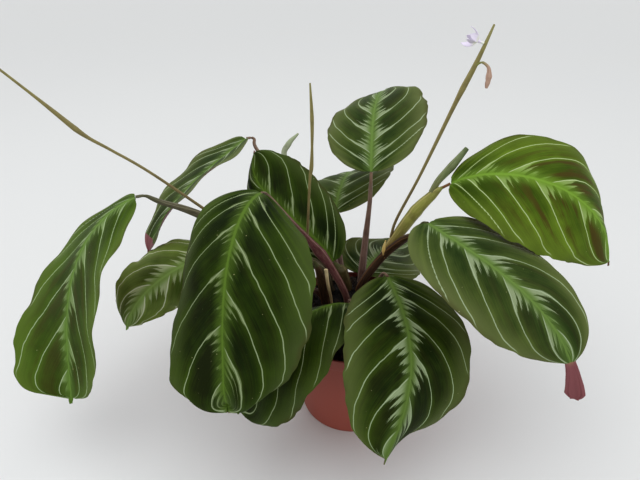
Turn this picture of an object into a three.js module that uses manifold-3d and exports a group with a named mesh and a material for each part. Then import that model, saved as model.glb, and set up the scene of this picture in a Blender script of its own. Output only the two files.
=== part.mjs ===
// A potted prayer plant in a plastic nursery pot.
// Millimetres, +Z up. The origin is the middle of the pot's underside, and the plant's best side faces -Y.
import * as THREE from "three";
import { mergeVertices } from "three/addons/utils/BufferGeometryUtils.js";
import Module from "manifold-3d";

const wasm = await Module();
wasm.setup();

// Space left between pieces that touch
const FIT_GAP = 0.35;

// Pot
const POT_TOP_RADIUS = 52.5;
const POT_FOOT_RADIUS = 37.5;
const POT_HEIGHT = 84;
const POT_WALL = 1.6;
const POT_FLOOR = 2.2;
const RIM_BAND_HEIGHT = 11;
const RIM_BAND_PROUD = 1.4;
const LIP_ROUND = 0.7;
const FOOT_ROUND = 1.5;
const POT_SIDES = 40;
const DRAIN_HOLES = 6;
const DRAIN_HOLE_RADIUS = 4;
const DRAIN_CIRCLE_RADIUS = 25;
const DRAIN_HOLE_SIDES = 12;

// Soil
const SOIL_SIDE_GAP = 0.6;
const SOIL_EDGE_HEIGHT = 77;
const SOIL_HEAP_HEIGHT = 16;
const SOIL_HEAP_SPREAD = 17;
const SOIL_HEAP_CENTRE = [2, 20];
const SOIL_LUMP_HEIGHT = 1.1;
const SOIL_LUMP_SIZE = 3.4;
const SOIL_CRUMB_SIZE = 1.7;
const SOIL_RINGS = 6;
const SOIL_SIDES = 28;

// Leaf blades
const BLADE_THICKNESS = 0.8;
const MIDRIB_DEPTH = 0.9;
const MIDRIB_HALF_WIDTH = 3;
const BLADE_ROWS = 16;
const BLADE_COLUMNS = 8;
const MIDRIB_STEPS = 400;
const BLADE_START = 0.005;
const TAIL = [0.03, 1.2, 1.2];
const TAIL_ROUND = 0.03;
const TAIL_BLUNTNESS = 0.15;
const HOOK_START = 0.82;
const HOOK_SHARPNESS = 1.5;
const FAR_SIDE_PHASE = 1.7;

// Stalks
const STALK_SIDES = 8;
const STALK_STEP = 9;
const STALK_TIP_HALF_WIDTH = 1.1;
const STALK_END_GAP = 0.6;
const STALK_LEAD = 6;
const STALK_TIP_STEP = 2.5;
const STALK_ROOT_HEIGHT = 62;
const ROOTED_BELOW = 85;

const GREEN = { color: 0x2f5420, roughness: 0.45 };
const YOUNG_GREEN = { color: 0x5f8f24, roughness: 0.45 };
const PURPLE_BROWN = { color: 0x6a4a44, roughness: 0.6 };
const OLIVE = { color: 0x7d7f38, roughness: 0.6 };
const DARK_BROWN = { color: 0x3c2a1e, roughness: 0.65 };
const PALE_OLIVE = { color: 0x9aa87a, roughness: 0.6 };
const TERRACOTTA = { color: 0x8a4a3e, roughness: 0.75 };
const PEAT = { color: 0x1b1512, roughness: 0.95 };
const LILAC_WHITE = { color: 0xe6dff0, roughness: 0.5 };
const WITHERED = { color: 0xa88a80, roughness: 0.8 };
const STRAW = { color: 0xb59d72, roughness: 0.8 };

// Each blade starts at `base`. heading, rise and roll are degrees at its base, middle and tip: the midrib's
// direction seen from above, its slope, and the blade's lean about it. left and right are how far each half
// folds down there, halves is the width of each and broad where each is widest. curl bends the edges further,
// hook turns the end under, and wave is how often, how far and from where the edges wave. tail is a narrow
// end's share and its half width at its root and its end.
const LEAVES = {
  far_left: { base: [-140, -2, 177], heading: [-160, -118, -109], rise: [-15, -65, -75], roll: [0, 10, 5],
    left: [20, -5, -5], right: [10, 10, -20], length: 153, halves: [44, 46], broad: [0.48, 0.72],
    curl: -10, hook: 0, wave: [4, 1.2, 0] },
  upper_left: { base: [-82, 90, 185], heading: [-140, -143, -135], rise: [-25, -35, -65],
    roll: [10, 15, 15], left: [-5, -10, -15], right: [-10, -5, -10], length: 120, halves: [33, 33],
    broad: [0.45, 0.45], curl: -5, hook: 0, wave: [3, 1.5, 1] },
  middle_left: { base: [-86, 17, 128], heading: [-150, -160, -175], rise: [5, -30, -75],
    roll: [-25, -50, -75], left: [0, 20, 30], right: [20, 20, 10], length: 105, halves: [35, 35],
    broad: [0.45, 0.45], curl: 40, hook: 0, wave: [2.5, 5, 0.5] },
  front_left: { base: [-59, -13, 185], heading: [-110, -101, -85], rise: [15, -65, -60],
    roll: [-10, 10, 0], left: [15, 5, 0], right: [0, 15, 0], length: 153, halves: [49, 48],
    broad: [0.5, 0.6], curl: 25, hook: 90, wave: [4, 1, 2] },
  back_left: { base: [-14, 17, 116], heading: [166, 149, 75], rise: [60, 31, 30], roll: [-60, -50, -55],
    left: [25, 15, 15], right: [5, 5, 0], length: 113, halves: [25, 36], broad: [0.45, 0.5], curl: 30,
    hook: 0, wave: [3, 0.8, 0] },
  over_pot: { base: [-4, -17, 105], heading: [-150, -150, -170], rise: [30, -40, -75], roll: [20, 10, 0],
    left: [15, 20, 35], right: [25, 20, 25], length: 120, halves: [43, 43], broad: [0.55, 0.55], curl: -5,
    hook: 0, wave: [4, 1.5, 0] },
  front: { base: [23, -1, 116], heading: [-75, -95, -145], rise: [-15, -25, -70], roll: [-15, -30, -65],
    left: [-5, 0, 55], right: [10, 5, 25], length: 129, halves: [46, 45], broad: [0.5, 0.5], curl: 0,
    hook: 0, wave: [4, 0.9, 0] },
  right: { base: [46, -1, 158], heading: [-70, -31, -38], rise: [5, -35, -80], roll: [15, 25, 70],
    left: [0, 5, -30], right: [-15, -5, 10], length: 154, halves: [42, 38.5], broad: [0.41, 0.43],
    curl: 25, hook: 0, tail: [0.17, 3, 6.5], wave: [3, 0.8, 0] },
  upper_right: { base: [66, 30, 172], heading: [-40, -15, 5], rise: [40, -22, -80], roll: [30, 40, 40],
    left: [0, 5, 30], right: [-5, 5, 20], length: 146, halves: [39, 44.5], broad: [0.57, 0.48], curl: 15,
    hook: 0, wave: [4, 1.2, 1] },
  top: { base: [12, 39, 177], heading: [88, 80, 68], rise: [60, 20, -10], roll: [-15, -5, -5],
    left: [0, 5, 20], right: [-5, -12, -20], length: 105, halves: [35, 39], broad: [0.4, 0.45], curl: 15,
    hook: 0, wave: [4, 1, 0] },
  back: { base: [-12, 68, 130], heading: [80, 75, 95], rise: [45, -10, -50], roll: [-10, -10, -15],
    left: [5, 5, 5], right: [-6, -10, -10], length: 110, halves: [40, 40], broad: [0.45, 0.45], curl: 15,
    hook: 0, wave: [3, 1, 0] },
  low_right: { base: [10, 39, 90], heading: [65, 55, 50], rise: [12, -12, 5], roll: [0, 5, 10],
    left: [0, -5, 0], right: [5, 5, 5], length: 98, halves: [34, 38], broad: [0.25, 0.3], curl: 0, hook: 0,
    wave: [3, 1, 0] },
};

// Each stalk runs through points of x, y, z and half width, from the soil up. flat is its thickness over its
// width. A stalk with a leaf ends at that blade's base, with `tip` as its half width there, and one with
// `on` grows from the side of that stalk.
const STALKS = {
  far_left: { leaf: "far_left", flat: 0.8, skin: PURPLE_BROWN,
    path: [[-15, 22, 84, 2.6], [-18, 15, 98, 3.2], [-20.5, 11.5, 110, 3.8], [-28, 8, 121, 3.8],
      [-40, 2, 129, 3.4], [-56, -1, 137, 3.4], [-103, 6, 160, 2.8], [-126, 1, 172, 1.9]] },
  upper_left: { leaf: "upper_left", flat: 0.8, skin: PURPLE_BROWN,
    path: [[-8, 31, 84, 2.6], [-14, 36, 106, 2.8], [-46, 64, 150, 2.2], [-73, 84, 177, 1.4]] },
  middle_left: { leaf: "middle_left", flat: 0.8, skin: PURPLE_BROWN,
    path: [[-20, 12, 82, 2.2], [-27, 9, 96, 2.4], [-50, 6, 108, 1.8], [-70, 10, 118, 1.8]] },
  front_left: { leaf: "front_left", flat: 0.55, skin: PURPLE_BROWN,
    path: [[-3, 6, 80, 2.2], [-6, 7, 96, 2.4], [-16, 9, 116, 2.6], [-24, 7, 130, 4], [-32, 2, 144, 2.4],
      [-46, -6, 166, 1.9]] },
  back_left: { leaf: "back_left", flat: 0.4, tip: 4, skin: OLIVE,
    path: [[-3, 16, 82, 2.4], [-4, 16, 88, 3.4], [-6, 16, 97, 5.2], [-10, 16, 109, 6]] },
  over_pot: { leaf: "over_pot", flat: 0.8, skin: PURPLE_BROWN,
    path: [[-3, -3, 80, 2], [-3, -4, 92, 2], [-3, -9, 101, 1.6]] },
  front: { leaf: "front", flat: 0.8, skin: PURPLE_BROWN,
    path: [[13, 8, 80, 2.2], [15, 8, 96, 2.2], [19, 6, 110, 1.6]] },
  right: { leaf: "right", flat: 0.75, skin: DARK_BROWN,
    path: [[4, 16, 82, 2.6], [7, 17, 97, 2.8], [21, 20, 118, 3], [34, 13, 137, 3.3], [41, 6, 146, 1.8]] },
  upper_right: { leaf: "upper_right", on: "right", flat: 0.8, skin: OLIVE,
    path: [[21, 20, 118, 2.6], [29, 23.5, 130, 3.4], [44, 29, 151, 4.4], [55, 31, 163, 3.4],
      [60, 31, 168, 1.6]] },
  top: { leaf: "top", flat: 0.85, skin: PURPLE_BROWN,
    path: [[7, 26, 82, 3], [8, 29, 100, 2.8], [10, 36, 122, 2.3], [12, 38, 152, 1.6],
      [12, 38, 166, 1.4]] },
  back: { leaf: "back", flat: 0.8, skin: PURPLE_BROWN,
    path: [[-5, 37, 82, 2.2], [-8, 43, 100, 2.2], [-11, 58, 118, 1.6]] },
  low_right: { leaf: "low_right", flat: 0.8, skin: PURPLE_BROWN,
    path: [[7, 34, 80, 1.8]] },
  new_leaf_right: { on: "upper_right", flat: 0.9, skin: PALE_OLIVE,
    path: [[54, 31, 165, 2], [59, 34, 173, 2.3], [68, 38, 182, 2.9], [78, 43, 193, 1.6]] },
  new_leaf_back: { flat: 0.7, skin: PALE_OLIVE,
    path: [[-12, 41, 82, 1.8], [-16, 50, 104, 1.8], [-38, 82, 146, 2], [-53, 98, 166, 2.2],
      [-50, 105, 175, 2.4], [-42, 111, 182, 0.8]] },
  flower_stalk_left: { on: "far_left", flat: 0.9, skin: OLIVE,
    path: [[-84, 6, 151, 1], [-134, 18, 184, 0.9], [-160, 24, 198, 0.9], [-174, 27, 205, 1.1],
      [-183, 29, 211, 1.8], [-196, 33, 221, 1.4], [-212, 38, 233, 0.9], [-246, 47, 259, 0.7]] },
  flower_stalk_centre: { on: "front_left", flat: 0.9, skin: OLIVE,
    path: [[-32.5, 1, 146, 0.9], [-31.5, 3, 166, 0.8], [-30.5, 8, 184, 0.9], [-29.5, 10, 192, 1.3],
      [-29, 12, 205, 0.8], [-29, 16, 222, 1.2], [-30, 20, 242, 0.5]] },
  flower_stalk_right: { on: "upper_right", flat: 0.9, skin: OLIVE,
    path: [[27, 24, 133, 1], [31, 28, 146, 1], [46, 37, 175, 1], [66, 51, 217, 1.4], [73, 56, 231, 2],
      [80, 61, 244, 1.7], [86, 66, 256, 1.3], [92, 71, 269, 0.7]] },
  old_sheath: { flat: 0.5, skin: DARK_BROWN,
    path: [[-19, 4, 80, 2.6], [-21, 3, 97, 3.4], [-23, 1, 111, 3.4], [-25, -1, 121, 2.4],
      [-28, -2, 129, 1]] },
  dry_stub: { flat: 0.7, skin: STRAW,
    path: [[-15, 1, 80, 1], [-16, -1, 96, 1], [-18.5, -3, 111, 1.1], [-20, -3, 123, 1.3]] },
};

// The open flower points to its stalk's left, and every second petal leans further back.
const FLOWER_BASE = [85.3, 66, 258];
const FLOWER_TURN = -70;
const TUBE_LENGTH = 6;
const TUBE_FOOT_RADIUS = 0.9;
const TUBE_MOUTH_RADIUS = 1.4;
const PETALS = 5;
const PETAL_LENGTH = 10;
const PETAL_HALF_WIDTH = 2.6;
const PETAL_FOOT_HALF_WIDTH = 0.6;
const PETAL_THICKNESS = 0.7;
const PETAL_LEAN = 25;
const PETAL_EXTRA_LEAN = 20;
const WITHERED_PATH = [[80, 61, 244, 0.8], [84, 59, 247, 0.8], [88, 56, 244, 1], [88, 53, 238, 2],
  [87, 51, 232, 1]];

const radians = THREE.MathUtils.degToRad;
const clamp = THREE.MathUtils.clamp;

// A value that is the first number at the base, the second halfway and the third at the tip.
function along(share, [base, middle, tip]) {
  const rest = 1 - share;
  return base * rest * (1 - 2 * share) + 4 * middle * share * rest + tip * share * (2 * share - 1);
}

// The midrib's points and the blade's axes there, in equal steps from base to tip.
function midribFrames(leaf) {
  const frames = [];
  const point = new THREE.Vector3(...leaf.base);
  for (let i = 0; i <= MIDRIB_STEPS; i++) {
    const share = i / MIDRIB_STEPS;
    const turnUnder = leaf.hook * clamp((share - HOOK_START) / (1 - HOOK_START), 0, 1) ** HOOK_SHARPNESS;
    const rise = radians(along(share, leaf.rise) - turnUnder);
    const heading = radians(along(share, leaf.heading));
    const roll = radians(along(share, leaf.roll));
    const forward = new THREE.Vector3(
      Math.cos(rise) * Math.cos(heading),
      Math.cos(rise) * Math.sin(heading),
      Math.sin(rise),
    );
    const level = new THREE.Vector3(-Math.sin(heading), Math.cos(heading), 0);
    const upright = new THREE.Vector3().crossVectors(forward, level);
    const side = level.clone().multiplyScalar(Math.cos(roll)).addScaledVector(upright, Math.sin(roll));
    const normal = new THREE.Vector3().crossVectors(forward, side);
    if (i > 0) {
      const mean = forward.clone().add(frames[i - 1].forward).multiplyScalar(0.5);
      point.addScaledVector(mean, leaf.length / MIDRIB_STEPS);
    }
    frames.push({ point: point.clone(), forward, side, normal });
  }
  return frames;
}

// How wide each half is: it opens as a square root from the base, closes to the tip and ends in a tail.
function halfWidth(leaf, share, half) {
  const [tailShare, tailRoot, tailEnd] = leaf.tail ?? TAIL;
  const broad = leaf.broad[half];
  const body = clamp(share / (1 - tailShare), 0, 1);
  const closing = 0.5 / broad - 0.5;
  const wide = leaf.halves[half] * (body / broad) ** 0.5 * ((1 - body) / (1 - broad)) ** closing;
  const into = clamp((share - 1 + tailShare) / tailShare, 0, 1);
  const blunt = Math.sqrt(clamp((1 - share) / TAIL_ROUND, TAIL_BLUNTNESS, 1));
  const narrow = (tailRoot + (tailEnd - tailRoot) * into) * blunt;
  return share > 0.5 ? Math.max(wide, narrow) : wide;
}

// A point of the blade: share runs from base to tip and across from -1 at the right edge to 1 at the left.
function bladePoint(leaf, frames, share, across) {
  const frame = frames[Math.round(share * MIDRIB_STEPS)];
  const half = across > 0 ? 0 : 1;
  const distance = Math.abs(across) * halfWidth(leaf, share, half);
  const fold = radians(along(share, across > 0 ? leaf.left : leaf.right));
  const curl = radians(leaf.curl || 1e-3) / leaf.halves[half];
  const outward = (Math.sin(fold + curl * distance) - Math.sin(fold)) / curl;
  const fall = (Math.cos(fold) - Math.cos(fold + curl * distance)) / curl;
  const [waves, height, phase] = leaf.wave;
  const turn = 2 * Math.PI * waves * share + phase + (across < 0 ? FAR_SIDE_PHASE : 0);
  const lift = height * Math.abs(across) ** 3 * Math.sin(turn);
  return frame.point
    .clone()
    .addScaledVector(frame.side, Math.sign(across) * outward)
    .addScaledVector(frame.normal, lift - fall);
}

function closedMesh(positions, triangles) {
  return new THREE.BufferGeometry()
    .setAttribute("position", new THREE.Float32BufferAttribute(positions, 3))
    .setIndex(triangles);
}

// One blade: an upper and a lower face with the same triangles, and a rim that joins them.
function bladeGeometry(leaf) {
  const frames = midribFrames(leaf);
  const last = BLADE_ROWS - 1;
  const rows = [];
  for (let i = 0; i <= last; i++) {
    const eased = (1 - Math.cos((Math.PI * i) / last)) / 2;
    const share = BLADE_START + (1 - BLADE_START) * eased;
    const row = [];
    for (let j = 0; j <= BLADE_COLUMNS; j++) {
      row.push(bladePoint(leaf, frames, share, (2 * j) / BLADE_COLUMNS - 1));
    }
    rows.push(row);
  }
  const upper = [];
  const lower = [];
  rows.forEach((row, i) => {
    row.forEach((point, j) => {
      const ahead = rows[Math.min(i + 1, last)][j].clone().sub(rows[Math.max(i - 1, 0)][j]);
      const aside = row[Math.min(j + 1, BLADE_COLUMNS)].clone().sub(row[Math.max(j - 1, 0)]);
      const normal = ahead.cross(aside).normalize();
      const across = (2 * j) / BLADE_COLUMNS - 1;
      const distance = Math.abs(across) * halfWidth(leaf, i / last, across > 0 ? 0 : 1);
      const rib = MIDRIB_DEPTH * Math.exp(-((distance / MIDRIB_HALF_WIDTH) ** 2)) * (1 - i / last);
      upper.push(...point.clone().addScaledVector(normal, BLADE_THICKNESS / 2).toArray());
      lower.push(...point.clone().addScaledVector(normal, -BLADE_THICKNESS / 2 - rib).toArray());
    });
  });
  const width = BLADE_COLUMNS + 1;
  const under = rows.length * width;
  const triangles = [];
  const at = (i, j) => i * width + j;
  for (let i = 0; i < last; i++) {
    for (let j = 0; j < BLADE_COLUMNS; j++) {
      const [a, b, c, d] = [at(i, j), at(i + 1, j), at(i + 1, j + 1), at(i, j + 1)];
      triangles.push(a, b, c, a, c, d);
      triangles.push(under + a, under + c, under + b, under + a, under + d, under + c);
    }
  }
  const rim = [];
  for (let j = 0; j < BLADE_COLUMNS; j++) rim.push(at(0, j));
  for (let i = 0; i < last; i++) rim.push(at(i, BLADE_COLUMNS));
  for (let j = BLADE_COLUMNS; j > 0; j--) rim.push(at(last, j));
  for (let i = last; i > 0; i--) rim.push(at(i, 0));
  rim.forEach((from, k) => {
    const to = rim[(k + 1) % rim.length];
    triangles.push(from, to, under + to, from, under + to, under + from);
  });
  return closedMesh([...upper, ...lower], triangles);
}

// A stalk: oval rings along a smooth curve through its points, closed at both ends.
function stalkGeometry(path, flat, extra = 0) {
  const centres = path.map(([x, y, z]) => new THREE.Vector3(x, y, z));
  const curve = new THREE.CatmullRomCurve3(centres, false, "catmullrom", 0.5);
  const segments = path.length - 1;
  const rings = [];
  for (let k = 0; k < segments; k++) {
    const step = k < segments - 1 ? STALK_STEP : STALK_TIP_STEP;
    const steps = Math.max(1, Math.round(centres[k].distanceTo(centres[k + 1]) / step));
    for (let i = 0; i < steps; i++) rings.push(k + i / steps);
  }
  rings.push(segments);
  const positions = [];
  rings.forEach((place) => {
    const centre = curve.getPoint(place / segments);
    const forward = curve.getTangent(clamp(place / segments, 1e-4, 1 - 1e-4));
    const wide = new THREE.Vector3(1, 0, 0).addScaledVector(forward, -forward.x).normalize();
    const deep = new THREE.Vector3().crossVectors(forward, wide);
    const k = Math.min(Math.floor(place), segments - 1);
    const halfWide = THREE.MathUtils.lerp(path[k][3], path[k + 1][3], place - k) + extra;
    const halfDeep = (halfWide - extra) * flat + extra;
    for (let side = 0; side < STALK_SIDES; side++) {
      const angle = (2 * Math.PI * side) / STALK_SIDES;
      const point = centre
        .clone()
        .addScaledVector(wide, halfWide * Math.cos(angle))
        .addScaledVector(deep, halfDeep * Math.sin(angle));
      positions.push(...point.toArray());
    }
  });
  const triangles = [];
  for (let i = 0; i < rings.length - 1; i++) {
    for (let side = 0; side < STALK_SIDES; side++) {
      const next = (side + 1) % STALK_SIDES;
      const [a, b] = [i * STALK_SIDES + side, i * STALK_SIDES + next];
      triangles.push(a, b, b + STALK_SIDES, a, b + STALK_SIDES, a + STALK_SIDES);
    }
  }
  const end = (rings.length - 1) * STALK_SIDES;
  for (let side = 1; side < STALK_SIDES - 1; side++) {
    triangles.push(0, side + 1, side);
    triangles.push(end, end + side, end + side + 1);
  }
  return closedMesh(positions, triangles);
}

// A stalk's points, down to its root in the soil and up to the base of its blade.
function stalkPath({ path, leaf, tip = STALK_TIP_HALF_WIDTH }) {
  const points = path.map((point) => [...point]);
  const [x, y, z, half] = points[0];
  if (z < ROOTED_BELOW) points.unshift([x, y, STALK_ROOT_HEIGHT, half]);
  if (!leaf) return points;
  const { point, forward } = midribFrames(LEAVES[leaf])[0];
  const arriving = point.clone().sub(new THREE.Vector3(...points.at(-1).slice(0, 3))).normalize();
  const lead = point.clone().addScaledVector(arriving.add(forward).normalize(), -STALK_LEAD);
  const end = point.clone().addScaledVector(forward, BLADE_START * LEAVES[leaf].length - STALK_END_GAP);
  points.push([...lead.toArray(), tip], [...end.toArray(), STALK_TIP_HALF_WIDTH]);
  return points;
}

function solidOf(geometry) {
  const bare = geometry.clone();
  bare.deleteAttribute("normal");
  bare.deleteAttribute("uv");
  const merged = mergeVertices(bare, 1e-4);
  return new wasm.Manifold(
    new wasm.Mesh({
      numProp: 3,
      vertProperties: merged.attributes.position.array,
      triVerts: new Uint32Array(merged.index.array),
    }),
  );
}

function geometryOf(solid) {
  const { vertProperties, triVerts } = solid.getMesh();
  return closedMesh([...vertProperties], [...triVerts]);
}

function potRadiusAt(height) {
  return POT_FOOT_RADIUS + ((POT_TOP_RADIUS - POT_FOOT_RADIUS) * height) / POT_HEIGHT;
}

// The pot: one turned wall with a band at the rim, and round drain holes through its floor.
function potGeometry() {
  const bandFoot = POT_HEIGHT - RIM_BAND_HEIGHT;
  const profile = [
    [0, 0],
    [POT_FOOT_RADIUS - FOOT_ROUND, 0],
    [potRadiusAt(FOOT_ROUND), FOOT_ROUND],
    [potRadiusAt(bandFoot) - RIM_BAND_PROUD, bandFoot],
    [potRadiusAt(bandFoot), bandFoot + LIP_ROUND],
    [POT_TOP_RADIUS, POT_HEIGHT - LIP_ROUND],
    [POT_TOP_RADIUS - LIP_ROUND, POT_HEIGHT],
    [POT_TOP_RADIUS - POT_WALL, POT_HEIGHT],
    [potRadiusAt(bandFoot) - POT_WALL, bandFoot + LIP_ROUND],
    [potRadiusAt(bandFoot) - RIM_BAND_PROUD - POT_WALL, bandFoot - LIP_ROUND],
    [potRadiusAt(POT_FLOOR) - POT_WALL, POT_FLOOR],
    [0, POT_FLOOR],
  ].map(([radius, height]) => new THREE.Vector2(radius, height));
  const wall = new THREE.LatheGeometry(profile, POT_SIDES).rotateX(Math.PI / 2);
  let solid = solidOf(wall);
  for (let i = 0; i < DRAIN_HOLES; i++) {
    const angle = (2 * Math.PI * i) / DRAIN_HOLES;
    const radius = DRAIN_HOLE_RADIUS;
    const hole = new THREE.CylinderGeometry(radius, radius, 4 * POT_FLOOR, DRAIN_HOLE_SIDES)
      .rotateX(Math.PI / 2)
      .translate(DRAIN_CIRCLE_RADIUS * Math.cos(angle), DRAIN_CIRCLE_RADIUS * Math.sin(angle), 0);
    solid = solid.subtract(solidOf(hole));
  }
  return geometryOf(solid);
}

// The soil's height: level at the pot's wall, heaped round the crown, with small lumps.
function soilHeight(x, y) {
  const [heapX, heapY] = SOIL_HEAP_CENTRE;
  const away = ((x - heapX) ** 2 + (y - heapY) ** 2) / (2 * SOIL_HEAP_SPREAD ** 2);
  const lumps = Math.sin(x / SOIL_LUMP_SIZE) * Math.sin(y / SOIL_LUMP_SIZE);
  const crumbs = Math.sin((x - y) / SOIL_CRUMB_SIZE) / 2;
  return SOIL_EDGE_HEIGHT + SOIL_HEAP_HEIGHT * Math.exp(-away) + SOIL_LUMP_HEIGHT * (lumps + crumbs);
}

// The soil: it fills the pot, and each stalk that comes out of it stands in a hole of its own.
function soilGeometry() {
  const floor = POT_FLOOR + FIT_GAP;
  const foot = potRadiusAt(floor) - POT_WALL - SOIL_SIDE_GAP;
  const bandFoot = POT_HEIGHT - RIM_BAND_HEIGHT;
  const shoulder = potRadiusAt(bandFoot) - RIM_BAND_PROUD - POT_WALL - SOIL_SIDE_GAP;
  const edge = foot + ((shoulder - foot) * (SOIL_EDGE_HEIGHT - floor)) / (bandFoot - floor);
  const positions = [0, 0, soilHeight(0, 0)];
  for (let ring = 1; ring <= SOIL_RINGS; ring++) {
    for (let side = 0; side < SOIL_SIDES; side++) {
      const angle = (2 * Math.PI * side) / SOIL_SIDES;
      const x = ((edge * ring) / SOIL_RINGS) * Math.cos(angle);
      const y = ((edge * ring) / SOIL_RINGS) * Math.sin(angle);
      positions.push(x, y, soilHeight(x, y));
    }
  }
  for (let side = 0; side < SOIL_SIDES; side++) {
    const angle = (2 * Math.PI * side) / SOIL_SIDES;
    positions.push(foot * Math.cos(angle), foot * Math.sin(angle), floor);
  }
  positions.push(0, 0, floor);
  const triangles = [];
  const at = (ring, side) => 1 + (ring - 1) * SOIL_SIDES + (side % SOIL_SIDES);
  const footCentre = 1 + (SOIL_RINGS + 1) * SOIL_SIDES;
  for (let side = 0; side < SOIL_SIDES; side++) {
    triangles.push(0, at(1, side), at(1, side + 1));
    for (let ring = 1; ring <= SOIL_RINGS; ring++) {
      const [a, b] = [at(ring, side), at(ring + 1, side)];
      const [c, d] = [at(ring + 1, side + 1), at(ring, side + 1)];
      triangles.push(a, b, c, a, c, d);
    }
    triangles.push(footCentre, at(SOIL_RINGS + 1, side + 1), at(SOIL_RINGS + 1, side));
  }
  let solid = solidOf(closedMesh(positions, triangles));
  for (const stalk of Object.values(STALKS)) {
    const points = stalkPath(stalk);
    if (points[0][2] > STALK_ROOT_HEIGHT) continue;
    const [x, y, z, half] = points[0];
    const hole = [[x, y, z - FIT_GAP, half], ...points.slice(1, 4)];
    solid = solid.subtract(solidOf(stalkGeometry(hole, stalk.flat, FIT_GAP)));
  }
  return geometryOf(solid);
}

// A petal: a small pointed blade that lies along +X, closed on both faces.
function petalGeometry() {
  const shape = new THREE.Shape();
  shape.moveTo(0, -PETAL_FOOT_HALF_WIDTH);
  shape.quadraticCurveTo(PETAL_LENGTH * 0.6, -PETAL_HALF_WIDTH, PETAL_LENGTH, 0);
  shape.quadraticCurveTo(PETAL_LENGTH * 0.6, PETAL_HALF_WIDTH, 0, PETAL_FOOT_HALF_WIDTH);
  shape.lineTo(0, -PETAL_FOOT_HALF_WIDTH);
  return new THREE.ExtrudeGeometry(shape, { depth: PETAL_THICKNESS, bevelEnabled: false, curveSegments: 4 });
}

// The open flower: a short tube with a ring of petals that lean back from its mouth.
function flowerGeometry() {
  const tube = new THREE.CylinderGeometry(TUBE_MOUTH_RADIUS, TUBE_FOOT_RADIUS, TUBE_LENGTH, 8)
    .rotateX(Math.PI / 2)
    .translate(0, 0, TUBE_LENGTH / 2);
  let solid = solidOf(tube);
  for (let i = 0; i < PETALS; i++) {
    const petal = petalGeometry()
      .rotateY(radians(-PETAL_LEAN - PETAL_EXTRA_LEAN * (i % 2)))
      .translate(TUBE_FOOT_RADIUS / 2, 0, TUBE_LENGTH - TUBE_MOUTH_RADIUS)
      .rotateZ((2 * Math.PI * i) / PETALS);
    solid = solid.add(solidOf(petal));
  }
  return geometryOf(solid).rotateY(radians(FLOWER_TURN)).translate(...FLOWER_BASE);
}

function piece(name, geometry, { color, roughness }) {
  const material = new THREE.MeshStandardMaterial({ color, roughness, metalness: 0 });
  const mesh = new THREE.Mesh(geometry, material);
  mesh.name = name;
  return mesh;
}

function stalkSolid(stalk, extra = 0) {
  return solidOf(stalkGeometry(stalkPath(stalk), stalk.flat, extra));
}

// What grows from a stalk's side ends just clear of that stalk.
function seatedOn(parent, solid) {
  return geometryOf(solid.subtract(stalkSolid(STALKS[parent], FIT_GAP)));
}

const group = new THREE.Group();
group.add(piece("pot", potGeometry(), TERRACOTTA));
group.add(piece("soil", soilGeometry(), PEAT));
for (const [name, leaf] of Object.entries(LEAVES)) {
  group.add(piece("leaf_" + name, bladeGeometry(leaf), name === "upper_right" ? YOUNG_GREEN : GREEN));
}
for (const [name, stalk] of Object.entries(STALKS)) {
  const title = stalk.leaf ? "stalk_" + name : name;
  const solid = stalkSolid(stalk);
  group.add(piece(title, stalk.on ? seatedOn(stalk.on, solid) : geometryOf(solid), stalk.skin));
}
const flower = seatedOn("flower_stalk_right", solidOf(flowerGeometry()));
const withered = seatedOn("flower_stalk_right", solidOf(stalkGeometry(WITHERED_PATH, 0.8)));
group.add(piece("flower", flower, LILAC_WHITE));
group.add(piece("withered_flower", withered, WITHERED));

export default group;
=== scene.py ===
"""The looks of a potted prayer plant: fine leaves, stalks, flowers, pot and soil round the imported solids."""

import math

import bpy
import numpy as np
from mathutils import Matrix


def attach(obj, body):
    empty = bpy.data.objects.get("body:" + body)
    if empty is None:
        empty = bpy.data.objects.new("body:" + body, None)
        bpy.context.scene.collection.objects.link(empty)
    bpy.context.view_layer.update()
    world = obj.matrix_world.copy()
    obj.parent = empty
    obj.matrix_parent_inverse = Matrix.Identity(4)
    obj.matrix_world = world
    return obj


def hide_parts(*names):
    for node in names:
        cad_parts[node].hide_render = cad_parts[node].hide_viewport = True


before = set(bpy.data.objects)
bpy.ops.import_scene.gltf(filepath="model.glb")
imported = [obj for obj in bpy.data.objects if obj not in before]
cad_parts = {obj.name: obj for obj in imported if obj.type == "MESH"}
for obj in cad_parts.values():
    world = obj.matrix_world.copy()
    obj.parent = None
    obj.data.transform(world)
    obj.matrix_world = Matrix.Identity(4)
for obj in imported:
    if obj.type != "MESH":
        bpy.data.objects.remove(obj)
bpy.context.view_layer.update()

bl_info = {
    "name": "Potted Prayer Plant",
    "version": (1, 0, 0),
    "blender": (4, 5, 0),
    "location": "View3D > Sidebar > Prayer Plant",
    "description": "Builds a prayer plant with veined leaves in a plastic nursery pot",
    "category": "Add Mesh",
}

MM = 0.001
ROOT = "root"

# Pot, in millimetres
POT_TOP_RADIUS = 52.5
POT_FOOT_RADIUS = 37.5
POT_HEIGHT = 84
POT_WALL = 1.6
POT_FLOOR = 2.2
POT_SIDES = 160
POT_ROUNDING = 0.9
CORNER_SHARE = 0.45
RIM_BAND_HEIGHT = 11
RIM_BAND_START = POT_HEIGHT - RIM_BAND_HEIGHT
RIM_BAND_PROUD = 1.4
RIM_BAND_SLANT = 0.7
FOOT_RING_WIDTH = 8
FOOT_RING_HEIGHT = 1
DRAIN_HOLES = 6
DRAIN_HOLE_RADIUS = 4
DRAIN_HOLE_SIDES = 32
DRAIN_CIRCLE_RADIUS = 25
DRILL_REACH = (-3, 6)

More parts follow.
